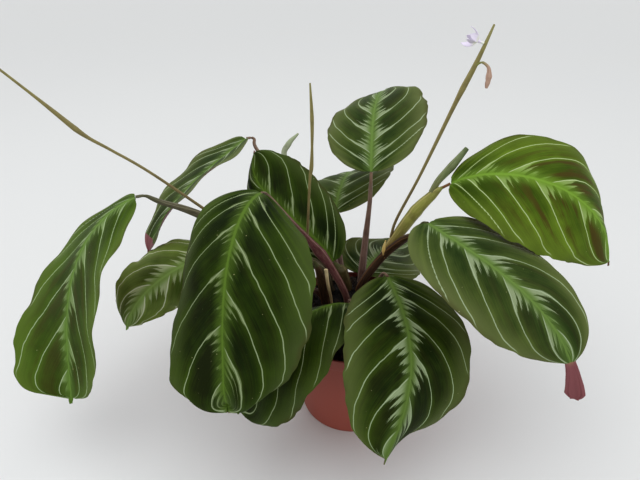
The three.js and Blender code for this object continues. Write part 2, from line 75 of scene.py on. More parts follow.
# Soil, in millimetres. Each wave of its unevenness has a size and a height, and only a calm share of the
# height is left at the wall
SOIL_EDGE_HEIGHT = 77
SOIL_HEAP_HEIGHT = 16
SOIL_HEAP_SPREAD = 17
SOIL_HEAP_CENTRE = (2, 20)
SOIL_TOP_GAP = 0.4
SOIL_SIDE_GAP = 0.6
SOIL_FLOOR_GAP = 0.35
SOIL_SHOULDER = 1.5
SOIL_RINGS = 110
SOIL_SIDES = 260
SOIL_INNER_RING = 0.006
SOIL_RING_CROWDING = 0.85
SOIL_WAVES = ((9, 0.9), (4, 0.7), (1.8, 0.5), (0.9, 0.25))
SOIL_CALM_EDGE = 3
SOIL_CALM = 0.35
SOIL_SEED = 5
CRUMB_SEED = 11
CRUMB_SIZE = 0.45
CRUMB_LEAST = 0.35
CRUMB_RISE = 0.2
CRUMB_MARGIN = 6
CRUMB_STRETCH = (0.5, 1.3)
CRUMB_LEAN = 0.3

# Leaf blades, in millimetres and shares of a blade's length. TAIL, RIPPLE and FEATHER are for a blade that
# gives none of its own, and FEATHER is how full the pale fringe is at the base, middle and tip. Each of the
# margin's steps has its waves, its height and its phase, and each side of the blade has a phase too
MIDRIB_STEPS = 400
BLADE_ROWS = 150
BLADE_COLUMNS = 60
BLADE_START = 0.005
COLUMN_CROWDING = 1.2
TAIL = (0.03, 1.2, 1.2)
TAIL_ROUND = 0.03
TAIL_BLUNTNESS = 0.15
HOOK_START = 0.82
HOOK_SHARPNESS = 1.5
RUFFLE_START = 0.6
RUFFLE_RISE = 0.3
FAR_SIDE_PHASE = 1.7
RIPPLE = 0.012
FEATHER = (0.75, 1.0, 0.35)
MARGIN_STEPS = ((5, 1, 0), (9, 0.7, 1), (17, 0.3, 2))
MARGIN_PHASES = (0.4, 2.1)
MARGIN_THINNING = 0.5

# Relief of a blade: how far from the midrib and what share in from the margin the bulges reach their full
# height, the power that rounds them and the level that they swing about, the depth and half widths of the
# midrib's groove above and its ridge below, in millimetres, and the share that the ridge loses to the tip
QUILT_FROM_RIB = 6
QUILT_FROM_MARGIN = 0.2
QUILT_ROUNDNESS = 0.7
QUILT_LEVEL = 0.4
GROOVE_DEPTH = 0.5
GROOVE_HALF_WIDTH = 1.6
RIB_HALF_WIDTH = 1.5
RIB_TAPER = 0.85

# Side veins: the curve that they follow as powers of the way out, how far back and how squeezed it is, their
# number, how they crowd at the base, how far along the first one starts and the other side's lie ahead, in
# spacings, and the least and greatest slope of their field
VEIN_SWEEP = (0.3, 0.12, 0.14)
VEIN_LEAN = (0.55, 1.2)
VEIN_COUNT = 6
VEIN_CROWDING = 0.62
VEIN_START = 0.35
VEIN_STAGGER = 0.35
VEIN_SLOPES = (0.01, 1.5)

# Stalks, in millimetres
STALK_ROOT_HEIGHT = 62
ROOTED_BELOW = 85
STALK_TIP_HALF_WIDTH = 1.1
STALK_END_GAP = 0.6
STALK_LEAD = 6
STALK_RIDGES = 7
STALK_SWELLINGS = 9
STALK_SWELLING = 0.015
SHEATH_SHARE = 0.6
SHEATH_WIDENING = 0.06

# Each blade starts at `base`. heading, rise and roll are degrees at its base, middle and tip: the midrib's
# direction seen from above, its slope, and the blade's lean about it. left and right are how far each half
# folds down there, halves is the width of each and broad where each is widest. curl bends the edges further,
# hook turns the end under, and wave is how often, how far and from where the edges wave. tail is a narrow
# end's share and its half width at its root and its end, and what lies beyond `under` shows its underside.
# ripple is the size of the margin's steps, ruffle is how often, how far and from where the end is crimped,
# and sweep is how far forward each half's veins lie.
LEAVES = {
    "far_left": dict(
        base=(-140, -2, 177), heading=(-160, -118, -109), rise=(-15, -65, -75), roll=(0, 10, 5),
        left=(20, -5, -5), right=(10, 10, -20), length=153, halves=(44, 46), broad=(0.48, 0.72), curl=-10,
        wave=(4, 1.2, 0), tone="fresh"),
    "upper_left": dict(
        base=(-82, 90, 185), heading=(-140, -143, -135), rise=(-25, -35, -65), roll=(10, 15, 15),
        left=(-5, -10, -15), right=(-10, -5, -10), length=120, halves=(33, 33), broad=(0.45, 0.45), curl=-5,
        wave=(3, 1.5, 1), under=0.9, tone="satin"),
    "middle_left": dict(
        base=(-86, 17, 128), heading=(-150, -160, -175), rise=(5, -30, -75), roll=(-25, -50, -75),
        left=(0, 20, 30), right=(20, 20, 10), length=105, halves=(35, 35), broad=(0.45, 0.45), curl=40,
        wave=(2.5, 5, 0.5), ripple=0.05, tone="pale"),
    "front_left": dict(
        base=(-59, -13, 185), heading=(-110, -101, -85), rise=(15, -65, -60), roll=(-10, 10, 0),
        left=(15, 5, 0), right=(0, 15, 0), length=153, halves=(49, 48), broad=(0.5, 0.6), curl=25,
        hook=90, wave=(4, 1, 2), sweep=(1.35, 0.75), ruffle=(1.9, 3, -1.571), feather=(0.8, 1.1, 0.9),
        tone="velvet"),
    "back_left": dict(
        base=(-14, 17, 116), heading=(166, 149, 75), rise=(60, 31, 30), roll=(-60, -50, -55),
        left=(25, 15, 15), right=(5, 5, 0), length=113, halves=(25, 36), broad=(0.45, 0.5), curl=30,
        wave=(3, 0.8, 0), tone="velvet"),
    "over_pot": dict(
        base=(-4, -17, 105), heading=(-150, -150, -170), rise=(30, -40, -75), roll=(20, 10, 0),
        left=(15, 20, 35), right=(25, 20, 25), length=120, halves=(43, 43), broad=(0.55, 0.55), curl=-5,
        wave=(4, 1.5, 0), ruffle=(3, 2, 0.5), tone="velvet"),
    "front": dict(
        base=(23, -1, 116), heading=(-75, -95, -145), rise=(-15, -25, -70), roll=(-15, -30, -65),
        left=(-5, 0, 55), right=(10, 5, 25), length=129, halves=(46, 45), broad=(0.5, 0.5), curl=0,
        wave=(4, 0.9, 0), feather=(0.9, 1.15, 0.9), tone="deep"),
    "right": dict(
        base=(46, -1, 158), heading=(-70, -31, -38), rise=(5, -35, -80), roll=(15, 25, 70),
        left=(0, 5, -30), right=(-15, -5, 10), length=154, halves=(42, 38.5), broad=(0.41, 0.43), curl=25,
        tail=(0.17, 3, 6.5), wave=(3, 0.8, 0), under=0.83, feather=(0.8, 1.35, -0.8), tone="satin"),
    "upper_right": dict(
        base=(66, 30, 172), heading=(-40, -15, 5), rise=(40, -22, -80), roll=(30, 40, 40),
        left=(0, 5, 30), right=(-5, 5, 20), length=146, halves=(39, 44.5), broad=(0.57, 0.48), curl=15,
        wave=(4, 1.2, 1), tone="young"),
    "top": dict(
        base=(12, 39, 177), heading=(88, 80, 68), rise=(60, 20, -10), roll=(-15, -5, -5),
        left=(0, 5, 20), right=(-5, -12, -20), length=105, halves=(35, 39), broad=(0.4, 0.45), curl=15,
        wave=(4, 1, 0), feather=(1.5, 1.25, 0.8), tone="satin"),
    "back": dict(
        base=(-12, 68, 130), heading=(80, 75, 95), rise=(45, -10, -50), roll=(-10, -10, -15),
        left=(5, 5, 5), right=(-6, -10, -10), length=110, halves=(40, 40), broad=(0.45, 0.45), curl=15,
        wave=(3, 1, 0), tone="satin"),
    "low_right": dict(
        base=(10, 39, 90), heading=(65, 55, 50), rise=(12, -12, 5), roll=(0, 5, 10),
        left=(0, -5, 0), right=(5, 5, 5), length=98, halves=(34, 38), broad=(0.25, 0.3), curl=0,
        wave=(3, 1, 0), feather=(1.7, 1.7, 1.2), tone="satin"),
}

# Each stalk runs through points of x, y, z and half width, from the soil up. flat is its thickness over its
# width. A stalk with a blade's name ends at that blade's base, with tip as its half width shortly before it.
STALKS = {
    "far_left": dict(flat=0.8, skin="grey", path=[
        (-15, 22, 84, 2.6), (-18, 15, 98, 3.2), (-20.5, 11.5, 110, 3.8), (-28, 8, 121, 3.8),
        (-40, 2, 129, 3.4), (-56, -1, 137, 3.4), (-103, 6, 160, 2.8), (-126, 1, 172, 1.9)]),
    "upper_left": dict(flat=0.8, skin="purple", path=[
        (-8, 31, 84, 2.6), (-14, 36, 106, 2.8), (-46, 64, 150, 2.2), (-73, 84, 177, 1.4)]),
    "middle_left": dict(flat=0.8, skin="purple", path=[
        (-20, 12, 82, 2.2), (-27, 9, 96, 2.4), (-50, 6, 108, 1.8), (-70, 10, 118, 1.8)]),
    "front_left": dict(flat=0.55, skin="wing", path=[
        (-3, 6, 80, 2.2), (-6, 7, 96, 2.4), (-16, 9, 116, 2.6), (-24, 7, 130, 4), (-32, 2, 144, 2.4),
        (-46, -6, 166, 1.9)]),
    "back_left": dict(flat=0.4, skin="sheath", tip=4, path=[
        (-3, 16, 82, 2.4), (-4, 16, 88, 3.4), (-6, 16, 97, 5.2), (-10, 16, 109, 6)]),
    "over_pot": dict(flat=0.8, skin="purple", path=[
        (-3, -3, 80, 2), (-3, -4, 92, 2), (-3, -9, 101, 1.6)]),
    "front": dict(flat=0.8, skin="purple", path=[
        (13, 8, 80, 2.2), (15, 8, 96, 2.2), (19, 6, 110, 1.6)]),
    "right": dict(flat=0.75, skin="brown", path=[
        (4, 16, 82, 2.6), (7, 17, 97, 2.8), (21, 20, 118, 3), (34, 13, 137, 3.3), (41, 6, 146, 1.8)]),
    "upper_right": dict(flat=0.8, skin="olive", path=[
        (21, 20, 118, 2.6), (29, 23.5, 130, 3.4), (44, 29, 151, 4.4), (55, 31, 163, 3.4),
        (60, 31, 168, 1.6)]),
    "top": dict(flat=0.85, skin="purple", path=[
        (7, 26, 82, 3), (8, 29, 100, 2.8), (10, 36, 122, 2.3), (12, 38, 152, 1.6), (12, 38, 166, 1.4)]),
    "back": dict(flat=0.8, skin="purple", path=[
        (-5, 37, 82, 2.2), (-8, 43, 100, 2.2), (-11, 58, 118, 1.6)]),
    "low_right": dict(flat=0.8, skin="purple", path=[
        (7, 34, 80, 1.8)]),
    "new_leaf_right": dict(flat=0.9, skin="rolled", path=[
        (54, 31, 165, 2), (59, 34, 173, 2.3), (68, 38, 182, 2.9), (78, 43, 193, 1.6)]),
    "new_leaf_back": dict(flat=0.7, skin="faded", path=[
        (-12, 41, 82, 1.8), (-16, 50, 104, 1.8), (-38, 82, 146, 2), (-53, 98, 166, 2.2),
        (-50, 105, 175, 2.4), (-42, 111, 182, 0.8)]),
    "flower_stalk_left": dict(flat=0.9, skin="peduncle", path=[
        (-84, 6, 151, 1), (-134, 18, 184, 0.9), (-160, 24, 198, 0.9), (-174, 27, 205, 1.1),
        (-183, 29, 211, 1.8), (-196, 33, 221, 1.4), (-212, 38, 233, 0.9), (-246, 47, 259, 0.7)]),
    "flower_stalk_centre": dict(flat=0.9, skin="peduncle", path=[
        (-32.5, 1, 146, 0.9), (-31.5, 3, 166, 0.8), (-30.5, 8, 184, 0.9), (-29.5, 10, 192, 1.3),
        (-29, 12, 205, 0.8), (-29, 16, 222, 1.2), (-30, 20, 242, 0.5)]),
    "flower_stalk_right": dict(flat=0.9, skin="peduncle", path=[
        (27, 24, 133, 1), (31, 28, 146, 1), (46, 37, 175, 1), (66, 51, 217, 1.4), (73, 56, 231, 2),
        (80, 61, 244, 1.7), (86, 66, 256, 1.3), (92, 71, 269, 0.7)]),
    "old_sheath": dict(flat=0.5, skin="brown", path=[
        (-19, 4, 80, 2.6), (-21, 3, 97, 3.4), (-23, 1, 111, 3.4), (-25, -1, 121, 2.4), (-28, -2, 129, 1)]),
    "dry_stub": dict(flat=0.7, skin="straw", path=[
        (-15, 1, 80, 1), (-16, -1, 96, 1), (-18.5, -3, 111, 1.1), (-20, -3, 123, 1.3)]),
}

# The dry scale at the foot of the young leaf's sheath
SCALE_PATH = [(22.5, 18, 119, 0.7), (21.6, 17.5, 127, 1.3), (22.6, 17.5, 134, 0.4)]
SCALE_FLATNESS = 0.4

# The flowers. An outer and an inner petal take turns, each with its length, its width and its lean in degrees
FLOWER_BASE = (85.3, 66, 258)
FLOWER_TUBE = [(0, 0, 0, 0.8), (0, 0, 3, 0.8), (0, 0, 6, 1.3)]
FLOWER_TILT = -70
PETALS = 5
PETAL_SHAPES = ((10.5, 2.6, 28), (8.0, 2.2, 52))
PETAL_FOOT = (0.5, 4.6)
PETAL_ROWS = 14
PETAL_COLUMNS = 9
PETAL_THICKNESS = 0.28
WITHERED_PATH = [(80, 61, 244, 0.8), (84, 59, 247, 0.8), (88, 56, 244, 1), (88, 53, 238, 2), (87, 51, 232, 1)]
WITHERED_FLATNESS = 0.8

# Camera, from the vanishing lines of the pot and the width of the view
IMAGE_WIDTH = 640
FOCAL_PIXELS = 483
CAMERA_PLACE = (-24, -279, 305.5)
CAMERA_PITCH = 30
CAMERA_NEAR = 10
SENSOR_WIDTH = 36

# Softboxes: where each stands, what it faces, its width, all in millimetres, and its share of the power
SOFTBOXES = {
    "softbox_top": ((-250, -150, 1300), (0, 40, 60), 1100, 1.0),
    "softbox_front": ((500, -1300, 900), (0, 0, 100), 900, 0.45),
}

# The greens of a leaf: deep between the side veins, mid next to them, edge at the margin, partly its own green
# and partly greyed as painted sheen, rib along the middle, feather for the pale fringe round it, line for the
# veins, and blotch for brown patches. blotches is how strong the patches are. teeth are the fringe's points
# from
# vein to vein: where each starts, how wide it is, and its length in millimetres. lens is half the thickness of
# the pale lens that lies on each vein, and whole is how full the fringe's colour is.
TONE_COLOURS = ("deep", "mid", "edge", "rib", "feather", "line", "blotch")
TONES = {
    "velvet": dict(
        deep=(21, 34, 3), mid=(62, 83, 19), edge=(78, 91, 50), rib=(92, 118, 46),
        feather=(146, 160, 118), line=(152, 166, 130), blotch=(50, 42, 16), blotches=0.15,
        lens=1.3, whole=0.75, teeth=((0, 0.2, 9), (0.18, 0.13, 8), (0.34, 0.12, 6), (0.66, 0.12, 5))),
    "deep": dict(
        deep=(23, 37, 4), mid=(70, 89, 27), edge=(94, 104, 62), rib=(96, 120, 58),
        feather=(154, 170, 134), line=(156, 172, 138), blotch=(46, 42, 14), blotches=0.25,
        lens=1.0, whole=1.0, teeth=((0, 0.3, 13), (0.24, 0.22, 9.5), (0.46, 0.26, 8), (0.72, 0.24, 5))),
    # Lighter, greyer greens for the leaves that catch the sky: their own green with painted sheen in it
    "satin": dict(
        deep=(38, 56, 19), mid=(88, 103, 49), edge=(106, 114, 72), rib=(106, 132, 68),
        feather=(158, 172, 138), line=(162, 176, 146), blotch=(60, 54, 32), blotches=0.3,
        lens=0.9, whole=0.95, teeth=((0, 0.28, 12), (0.22, 0.2, 8), (0.44, 0.24, 6), (0.72, 0.2, 4))),
    "fresh": dict(
        deep=(48, 64, 16), mid=(82, 108, 34), edge=(94, 112, 48), rib=(106, 136, 64),
        feather=(148, 168, 120), line=(168, 184, 148), blotch=(70, 64, 26), blotches=0.4,
        lens=0.9, whole=0.8, teeth=((0, 0.3, 13), (0.24, 0.22, 9), (0.48, 0.24, 7), (0.74, 0.22, 5))),
    "pale": dict(
        deep=(70, 88, 32), mid=(128, 148, 76), edge=(122, 136, 72), rib=(132, 160, 90),
        feather=(198, 210, 170), line=(214, 222, 194), blotch=(84, 74, 44), blotches=0.2,
        lens=1.0, whole=0.7, teeth=((0, 0.34, 15), (0.2, 0.24, 12), (0.42, 0.26, 10), (0.68, 0.26, 9))),
    "young": dict(
        deep=(56, 76, 12), mid=(106, 130, 40), edge=(92, 106, 42), rib=(120, 154, 60),
        feather=(160, 184, 116), line=(182, 198, 150), blotch=(74, 66, 24), blotches=1.0,
        lens=0.8, whole=0.8, teeth=((0, 0.26, 14), (0.22, 0.18, 9), (0.44, 0.22, 6), (0.74, 0.2, 4))),
}

# Marks on a blade. A vein wanders by a share of the space between two, and the fringe's ends are ragged by
# two noises, in millimetres. Each pair after them is where a mark fades out and where it is full. The first
# eight are in millimetres: from the midrib, from a vein or, as softness, from the mark's own edge. The last
# four are shares of the way out to the margin or of the blade's length
VEIN_WANDER = 0.16
FRINGE_RAGS = (7.0, 4.0)
LENS_START = (2.0, 9.0)
LENS_END = (14.5, 9.5)
LENS_SOFTNESS = (-0.1, 0.6)
FRINGE_SOFTNESS = (-0.4, 1.1)
LINE_HALF_WIDTH = (0.42, 0.2)
GLOW_REACH = (9.0, 0.5)
UNDER_VEIN_HALF_WIDTH = (0.9, 0.3)
UNDER_RIB_HALF_WIDTH = (2.0, 1.0)
FRINGE_MARGIN = (0.8, 0.5)
LINE_MARGIN = (0.99, 0.93)
STAIN_MARGIN = (0.95, 0.5)
UNDER_TIP = (0.85, 0.8)

# Noises drawn out along a blade's veins: how fine each is across them, away from the midrib and lengthwise
GRAIN = (34.0, 0.09, 4.0)
HAIRS = (120.0, 0.16, 7.0)
BRUSH = (4.0, 0.03, 2.5)

# The two pale edges of a sheath, partly its own margins and partly painted highlight: where each is, as an
# angle round the stalk, where it fades out and where it is full, as angles from there, and its strength
SHEATH_EDGE_HIGHLIGHTS = ((0.55, 0.2, 0.06, 0.65), (2.6, 0.16, 0.05, 0.5))

# Stalk skins: the material slot of each, and its colours at the foot, at the top, in the streaks and the
# sheath's edges, partly painted highlight, and just under the blade. The main colour of each is in StalkLooks
STALK_SKINS = {
    "purple": ("purple_stalk", (72, 42, 40), (122, 104, 88), (158, 138, 124), (118, 96, 78)),
    "wing": ("purple_stalk", (92, 58, 46), (126, 106, 92), (168, 146, 126), (128, 110, 92)),
    "grey": ("purple_stalk", (92, 74, 62), (78, 76, 56), (150, 146, 118), (84, 84, 60)),
    "olive": ("olive_stalk", (118, 82, 56), (124, 130, 66), (176, 166, 112), (128, 84, 60)),
    "sheath": ("olive_stalk", (56, 40, 30), (74, 78, 40), (120, 106, 70), (74, 78, 40)),
    "peduncle": ("olive_stalk", (92, 76, 50), (128, 124, 72), (160, 148, 98), (134, 130, 84)),
    "brown": ("brown_stalk", (44, 26, 24), (66, 52, 36), (122, 88, 58), (80, 84, 50)),
    "rolled": ("rolled_leaf", (104, 104, 60), (96, 114, 76), (150, 160, 118), (84, 98, 60)),
    "faded": ("rolled_leaf", (122, 124, 92), (160, 170, 142), (178, 186, 162), (150, 162, 130)),
    "straw": ("dry_stem", (120, 92, 60), (206, 190, 150), (212, 198, 160), (206, 190, 150)),
    "scale": ("dry_stem", (150, 108, 62), (232, 214, 150), (236, 222, 170), (222, 196, 124)),
}

# The lesser colours of the materials, whose main colours are in the settings below. A petal's two are for its
# veins and its foot
DRY_MARGIN = (66, 60, 34)
DRY_SPECK = (190, 186, 140)
UNDER_GREEN = (96, 92, 66)
UNDER_CLOUD = (146, 92, 92)
UNDER_VEIN = (160, 112, 104)
UNDER_MIDRIB = (150, 128, 84)
STALK_DARK = (24, 18, 14)
PLASTIC_LIGHT = (158, 88, 74)
PLASTIC_DARK = (116, 54, 44)
PLASTIC_DUST = (150, 104, 92)
# Painted shade for the hollows of the peat
HOLLOW_SHADE = (16, 12, 10)
PEAT_FIBRE = (92, 72, 54)
CRUMB = (58, 44, 34)
CRUMB_FIBRE = (120, 98, 74)
PETAL_COLOURS = ((198, 184, 222), (232, 234, 222))
WITHERED_COLOURS = ((112, 74, 62), (122, 126, 66))
FLOOR_TINT = (226, 226, 222)
SKY = (250, 250, 250)


def paint(red, green, blue):
    """A colour as the eye reads it, 0 to 255, turned into the linear colour that a shader takes."""
    shares = np.array([red, green, blue]) / 255
    linear = np.where(shares <= 0.04045, shares / 12.92, ((shares + 0.055) / 1.055) ** 2.4)
    return (*(float(x) for x in linear), 1.0)


def colour_property(name, description, colour):
    """A colour that a user can change."""
    return bpy.props.FloatVectorProperty(name=name, description=description, subtype="COLOR", size=4,
                                         min=0, max=1, default=colour)


def length_property(name, description, metres):
    """A length that a user can change."""
    return bpy.props.FloatProperty(name=name, description=description, default=metres, min=0,
                                   precision=5, unit="LENGTH")


class LeafLooks(bpy.types.PropertyGroup):
    thickness: length_property("Thickness", "Thickness of a blade", 0.5 * MM)
    quilt: length_property("Quilting", "How far the blade bulges between its side veins", 0.8 * MM)
    rib: length_property("Midrib", "How far the midrib stands out underneath", 0.9 * MM)
    underside: colour_property("Underside", "Colour of the lower face", paint(112, 56, 62))


class StalkLooks(bpy.types.PropertyGroup):
    ridge: bpy.props.FloatProperty(name="Ridges", description="Depth of the lengthwise ridges over the width",
                                   default=0.05, min=0, max=0.3, subtype="FACTOR")
    purple: colour_property("Purple", "Colour of most leaf stalks", paint(104, 80, 70))
    wing: colour_property("Wing", "Colour of the stalk of the largest leaf", paint(108, 60, 68))
    grey: colour_property("Grey", "Colour of the far left leaf stalk", paint(86, 82, 60))
    olive: colour_property("Olive", "Colour of the young leaf's sheath", paint(134, 138, 62))
    sheath: colour_property("Sheath", "Colour of the broad sheath in the crown", paint(76, 66, 40))
    peduncle: colour_property("Flower stalk", "Colour of the flower stalks", paint(114, 106, 64))
    brown: colour_property("Brown", "Colour of the oldest stalks", paint(54, 40, 27))
    rolled: colour_property("Rolled leaf", "Colour of the young rolled leaf", paint(98, 110, 70))
    faded: colour_property("Faded roll", "Colour of the rolled leaf at the back", paint(128, 138, 106))
    straw: colour_property("Straw", "Colour of dry stems", paint(182, 160, 118))
    scale: colour_property("Scale", "Colour of the dry scale on a sheath", paint(216, 186, 108))


class PotLooks(bpy.types.PropertyGroup):
    plastic: colour_property("Plastic", "Colour of the pot", paint(146, 74, 60))
    roughness: bpy.props.FloatProperty(name="Roughness", description="How matt the plastic is", default=0.6,
                                       min=0, max=1, subtype="FACTOR")


class SoilLooks(bpy.types.PropertyGroup):
    # The default is darker and greyer than the peat's own brown, as painted shade for soil lying under the
    # leaves
    peat: colour_property("Peat", "Colour of the soil", paint(20, 17, 14))
    crumbs: bpy.props.IntProperty(name="Crumbs", description="Number of loose crumbs on the soil",
                                  default=700, min=0, max=3000)


class FlowerLooks(bpy.types.PropertyGroup):
    petal: colour_property("Petals", "Colour of the open flower", paint(232, 226, 240))
    withered: colour_property("Withered", "Colour of the withered flower", paint(176, 148, 130))


class StageLooks(bpy.types.PropertyGroup):
    floor: colour_property("Floor", "Colour of the floor", paint(216, 218, 219))
    floor_size: length_property("Floor size", "Width of the floor", 12.0)
    sky: bpy.props.FloatProperty(name="Sky", description="Strength of the light from all round",
                                 default=0.85, min=0)
    softbox: bpy.props.FloatProperty(name="Softbox", description="Power of the light overhead, in watts",
                                     default=3.6, min=0)


class Value:
    """A shader socket that Python expressions can use."""

    def __init__(self, shader, socket):
        self.shader = shader
        self.socket = socket

    def math(self, operation, *others, first=None):
        """The operation on this value, or on another that comes first, and on the others."""
        values = [self if first is None else first, *others]
        return self.shader.node("ShaderNodeMath", dict(enumerate(values)), operation=operation)

    def __add__(self, other):
        return self.math("ADD", other)

    __radd__ = __add__

    def __sub__(self, other):
        return self.math("SUBTRACT", other)

    def __rsub__(self, other):
        return self.math("SUBTRACT", self, first=other)

    def __mul__(self, other):
        return self.math("MULTIPLY", other)

    __rmul__ = __mul__

    def __truediv__(self, other):
        return self.math("DIVIDE", other)

    def __rtruediv__(self, other):
        return self.math("DIVIDE", self, first=other)

    def __abs__(self):
        return self.math("ABSOLUTE")

    def below(self, other):
        """1 where the value is less than the other, and 0 elsewhere."""
        return self.math("LESS_THAN", other)

    def fraction(self):
        """What is left over a whole number."""
        return self.math("FRACT")

    def least(self, other):
        """The smaller of the two."""
        return self.math("MINIMUM", other)

    def most(self, other):
        """The greater of the two."""
        return self.math("MAXIMUM", other)

    def step(self, low, high):
        """0 below low, 1 above high and a smooth rise between; with high under low it falls."""
        return self.shader.node("ShaderNodeMapRange", {0: self, 1: low, 2: high, 3: 0.0, 4: 1.0},
                                interpolation_type="SMOOTHSTEP", clamp=True)


class Shader:
    """A material and its nodes."""

    def __init__(self, name):
        self.material = bpy.data.materials.new(name)
        self.material.use_nodes = True
        self.tree = self.material.node_tree
        self.tree.nodes.clear()

    def node(self, kind, inputs=None, output=0, **settings):
        """Adds a node: its settings first, then the values or links of its sockets."""
        node = self.tree.nodes.new(kind)
        for key, value in settings.items():
            setattr(node, key, value)
        for key, value in (inputs or {}).items():
            socket = node.inputs[key]
            if isinstance(value, Value):
                self.tree.links.new(value.socket, socket)
            else:
                socket.default_value = value
        return Value(self, node.outputs[output])

    def mix(self, factor, first, second):
        """The first colour where the factor is 0, the second where it is 1, and a blend between."""
        return self.node("ShaderNodeMix", {0: factor, 6: first, 7: second}, output=2, data_type="RGBA")

    def attributes(self, *names):
        """The values that the piece stores at its points under these names."""
        return [self.node("ShaderNodeAttribute", output=2, attribute_name=name) for name in names]

    def place(self):
        """Where the shaded point is on its piece."""
        return self.node("ShaderNodeTexCoord", output=3)

    def vector(self, x, y, z=0.0):
        """Three values as one vector."""
        return self.node("ShaderNodeCombineXYZ", {0: x, 1: y, 2: z})

    def noise(self, vector, scale, detail=3.0, roughness=0.55, distortion=0.0):
        """Smooth noise from 0 to 1 with its mean near a half. Its scale is per metre on a place."""
        return self.node("ShaderNodeTexNoise", {"Vector": vector, "Scale": scale, "Detail": detail,
                                                "Roughness": roughness, "Distortion": distortion})

    def drawn_out(self, fineness, veins, out, reach, **form):
        """Noise on a blade's own three directions."""
        across, outward, lengthwise = fineness
        return self.noise(self.vector(veins * across, out * outward, reach * lengthwise), 1.0, **form)

    def bump(self, height, distance, strength=1.0):
        """The surface's normal where the height, which is a share of the distance, raises it."""
        return self.node("ShaderNodeBump", {"Strength": strength, "Distance": distance, "Height": height})

    def finish(self, **sockets):
        """Ends the material in a Principled shader; a socket's name has _ for each space."""
        inputs = {key.replace("_", " "): value for key, value in sockets.items()}
        surface = self.node("ShaderNodeBsdfPrincipled", inputs)
        output = self.tree.nodes.new("ShaderNodeOutputMaterial")
        self.tree.links.new(surface.socket, output.inputs["Surface"])
        return self.material


def leaf_upper(tone):
    """The upper face of a blade. All is worked out from the distance to the midrib, the way out to the margin
    and the side veins' phase, which runs from 0 on one vein to 1 on the next."""
    greens = TONES[tone]
    colours = {key: paint(*greens[key]) for key in TONE_COLOURS}
    s = Shader("leaf_" + tone)
    place = s.place()
    rib, edge, reach = s.attributes("rib_distance", "edge", "reach")
    veins, slope, fullness = s.attributes("vein", "vein_slope", "feather")
    out = abs(rib)
    wander = s.noise(place, 55.0, detail=2.0) - 0.5
    phase = (veins + rib.below(0.0) * VEIN_STAGGER + wander * VEIN_WANDER + VEIN_START).fraction()
    near = phase.least(1 - phase)
    away = near / slope
    rooted = veins.step(-0.15, 0.1)
    grain = s.drawn_out(GRAIN, veins, out, reach, roughness=0.6)
    hairs = s.drawn_out(HAIRS, veins, out, reach, detail=2.0)
    brush = s.drawn_out(BRUSH, veins, out, reach)
    patches = s.noise(place, 30.0)

    # The pale fringe: points of different lengths, each longest along its own line of the phase, with ragged
    # ends, and a lens of the same colour that swells along each vein
    fringe = 1.0
    for start, width, length in greens["teeth"]:
        past = (phase - start + 1).fraction()
        fringe = ((1 - past / width) * length).most(fringe)
    ragged = (grain - 0.5) * FRINGE_RAGS[0] + (hairs - 0.5) * FRINGE_RAGS[1]
    fringe = fringe * fullness + ragged * fullness - out
    along_vein = out / fullness.most(0.05)
    swell = along_vein.step(*LENS_START) * along_vein.step(*LENS_END)
    lens = swell * greens["lens"] * reach.step(0.97, 0.8) - away + (hairs - 0.5) * 0.6
    pale = fringe.step(*FRINGE_SOFTNESS).most(lens.step(*LENS_SOFTNESS)) * edge.step(*FRINGE_MARGIN) * rooted

    # The vein's thin line, the glow along the midrib, and the midrib itself, which narrows to the tip
    line = away.step(*LINE_HALF_WIDTH) * edge.step(*LINE_MARGIN) * out.step(0.5, 3.0) * rooted
    glow = (out + (grain - 0.5) * 6.0).step(*GLOW_REACH)
    middle = (reach.step(1.0, 0.0) * 0.6 + 0.35 - out + (grain - 0.5) * 0.6).step(-0.35, 0.35)

    # The green: deeper between the veins and towards the midrib, in patches and fine streaks
    shade = near.step(0.02, 0.3) * 0.3 + edge.step(0.95, 0.2) * 0.5 + (patches - 0.42) * 1.5
    shade = shade + (hairs - 0.5) * 0.5 + (grain - 0.5) * 0.7
    base = s.mix(shade, colours["mid"], colours["deep"])

    # Brown stains between the veins, the margin's green, partly its own and partly painted sheen, with its dry
    # rim, and the glow
    stain = (brush + patches * 0.6 + hairs * 0.45).step(0.92, 1.12) * near.step(0.03, 0.2)
    stain = stain * reach.step(0.12, 0.5) * out.step(2.0, 8.0) * edge.step(*STAIN_MARGIN)
    base = s.mix(stain * greens["blotches"], base, colours["blotch"])
    # Painted sheen: towards the margin the green goes lighter and greyer
    base = s.mix(edge.step(0.55, 1.0) * (patches * 0.8 + 0.2), base, colours["edge"])
    rim = edge.step(0.9, 1.0) * patches.step(0.42, 0.6)
    base = s.mix(rim * 0.5, base, paint(*DRY_MARGIN))
    base = s.mix(glow * 0.4, base, colours["rib"])

    # The pale marks over it, and a few dry specks
    down = s.mix(out.step(1.0, 6.0), colours["rib"], colours["feather"])
    base = s.mix(pale * (hairs * 0.7 + 0.35) * greens["whole"], base, down)
    base = s.mix(line * (patches * 0.6 + 0.5), base, colours["line"])
    base = s.mix(middle * 0.8, base, colours["rib"])
    specks = s.noise(place, 650.0, detail=1.0).step(0.77, 0.8)
    specks = specks * s.noise(place, 60.0, detail=2.0).step(0.5, 0.65)
    base = s.mix(specks * 0.7, base, paint(*DRY_SPECK))

    height = hairs * 0.35 - line * 0.8 - middle * 0.6 + s.noise(place, 900.0, detail=1.0) * 0.2
    normal = s.bump(height, 0.18 * MM, 0.8)
    roughness = patches * 0.12 + grain * 0.1 + 0.42
    return s.finish(Base_Color=base, Roughness=roughness, Normal=normal, IOR=1.4, Specular_IOR_Level=0.11)


